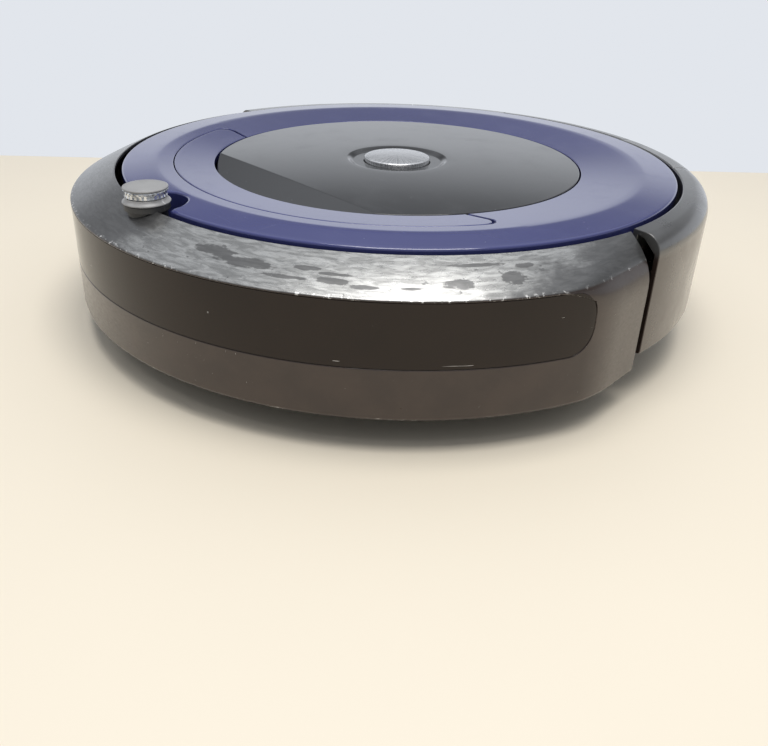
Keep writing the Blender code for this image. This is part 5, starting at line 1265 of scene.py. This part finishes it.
softEdge = dict(battery=0.8, battery_cover=0.5, brush_housing=0.6, brush_gearbox=0.5, main_board=0.15, ui_board=0.15,
                bin_door=0.5, bin_filter=0.1, caster_fork=0.5, caster_housing=0.4, contact_left=0.3, contact_right=0.3,
                left_suspension_spring=0.0, right_suspension_spring=0.0, bumper_spring_left=0.1, bumper_spring_right=0.1)
for name, node in frame["nodes"].items():
    if name in keptFinish and not node.hide_render:
        stand(fromCad(name), name, bevel=softEdge.get(name, 0.3), fromFlat=True)
print("wheels, rollers, brush, caster and underside built")

# floor, light and camera
stageLook = dict(floor=(0.88, 0.80, 0.66), wall=(0.76, 0.79, 0.84), wallBehind=0.30, reach=3.0, nearLight=0.66, farLight=1.0)
view = dict(place=(0.34183, -0.30943, 0.19857), right=(0.63852, 0.76934, 0.02031), up=(-0.36732, 0.28146, 0.88649),
            lens=37.47, shift=(0.0323, -0.0327))

floorPaint = Paint("floorTile")
tone = floorPaint.noise(3.0, 3.0)
floorPaint.finish(colour=floorPaint.blend(floorPaint.between(tone, 0.3, 0.7), stageLook["floor"],
                                          tuple(c * 0.97 for c in stageLook["floor"])),
                  rough=floorPaint.between(tone, 0.3, 0.7, 0.45, 0.55))
ahead = Vector((-0.67629, 0.5735, 0.0)).normalized()
across = Vector((ahead.y, -ahead.x, 0.0))
far = Vector((0, ringY * mm, 0)) + ahead * stageLook["wallBehind"]
near = far - ahead * stageLook["reach"]
reach = across * stageLook["reach"]
floorMesh = bpy.data.meshes.new("floor")
floorMesh.from_pydata([near + reach, near - reach, far - reach, far + reach], [], [(0, 1, 2, 3)])
floor = bpy.data.objects.new("floor", floorMesh)
floorMesh.materials.append(floorPaint.material)
bpy.context.scene.collection.objects.link(floor)
if floorMesh.polygons[0].normal.z < 0:
    floorMesh.flip_normals()
bpy.context.scene.view_settings.view_transform = "Standard"

world = bpy.data.worlds.new("paleRoom")
bpy.context.scene.world = world
world.use_nodes = True
worldTree = world.node_tree
direction = worldTree.nodes.new("ShaderNodeTexCoord")
turned = worldTree.nodes.new("ShaderNodeVectorMath")  # how far a direction points at the wall behind the object
turned.operation = "DOT_PRODUCT"
turned.inputs[1].default_value = ahead
worldTree.links.new(direction.outputs["Generated"], turned.inputs[0])
ramp = worldTree.nodes.new("ShaderNodeMapRange")
ramp.interpolation_type = "SMOOTHSTEP"
for socket, value in ((1, -0.5), (2, 0.6), (3, stageLook["nearLight"]), (4, stageLook["farLight"])):
    ramp.inputs[socket].default_value = value
worldTree.links.new(turned.outputs["Value"], ramp.inputs[0])
split = worldTree.nodes.new("ShaderNodeSeparateXYZ")  # the wall is brightest low down and dims upwards
worldTree.links.new(direction.outputs["Generated"], split.inputs[0])
height = worldTree.nodes.new("ShaderNodeValToRGB")
steps = height.color_ramp.elements
steps[0].position, steps[1].position = 0.22, 1.0
for place, grey in ((0.27, 0.70), (0.31, 0.36), (0.42, 0.30), (0.60, 0.85)):
    steps.new(place).color = (grey, grey, grey, 1)
steps[0].color = steps[len(steps) - 1].color = (1, 1, 1, 1)
worldTree.links.new(split.outputs["Z"], height.inputs[0])
both = worldTree.nodes.new("ShaderNodeMath")
both.operation = "MULTIPLY"
worldTree.links.new(ramp.outputs[0], both.inputs[0])
worldTree.links.new(height.outputs[0], both.inputs[1])
worldTree.nodes["Background"].inputs["Color"].default_value = (*stageLook["wall"], 1.0)
worldTree.links.new(both.outputs[0], worldTree.nodes["Background"].inputs["Strength"])


def lamp(name, place, aim, size, power, colour=(1, 1, 1)):
    light = bpy.data.lights.new(name, "AREA")
    light.shape, light.size, light.size_y = "RECTANGLE", size[0], size[1]
    light.energy, light.color = power, colour
    item = bpy.data.objects.new(name, light)
    item.location = place
    item.rotation_euler = (Vector(aim) - Vector(place)).to_track_quat("-Z", "Y").to_euler()
    bpy.context.scene.collection.objects.link(item)
    return item


lamp("overhead", (0.25, -0.12, 1.35), (0.0, 0.0, 0.0), (0.8, 0.8), 13.5, (1.0, 0.98, 0.95))

cameraData = bpy.data.cameras.new("camera")
cameraData.lens, cameraData.sensor_width = view["lens"], 36.0
cameraData.shift_x, cameraData.shift_y = view["shift"]
cameraData.clip_start = 0.01
camera = bpy.data.objects.new("camera", cameraData)
right, up = Vector(view["right"]), Vector(view["up"])
back = right.cross(up)
camera.matrix_world = Matrix(((right.x, up.x, back.x, view["place"][0]), (right.y, up.y, back.y, view["place"][1]),
                              (right.z, up.z, back.z, view["place"][2]), (0, 0, 0, 1)))
bpy.context.scene.collection.objects.link(camera)
bpy.context.scene.camera = camera
print("stage, light and camera set")
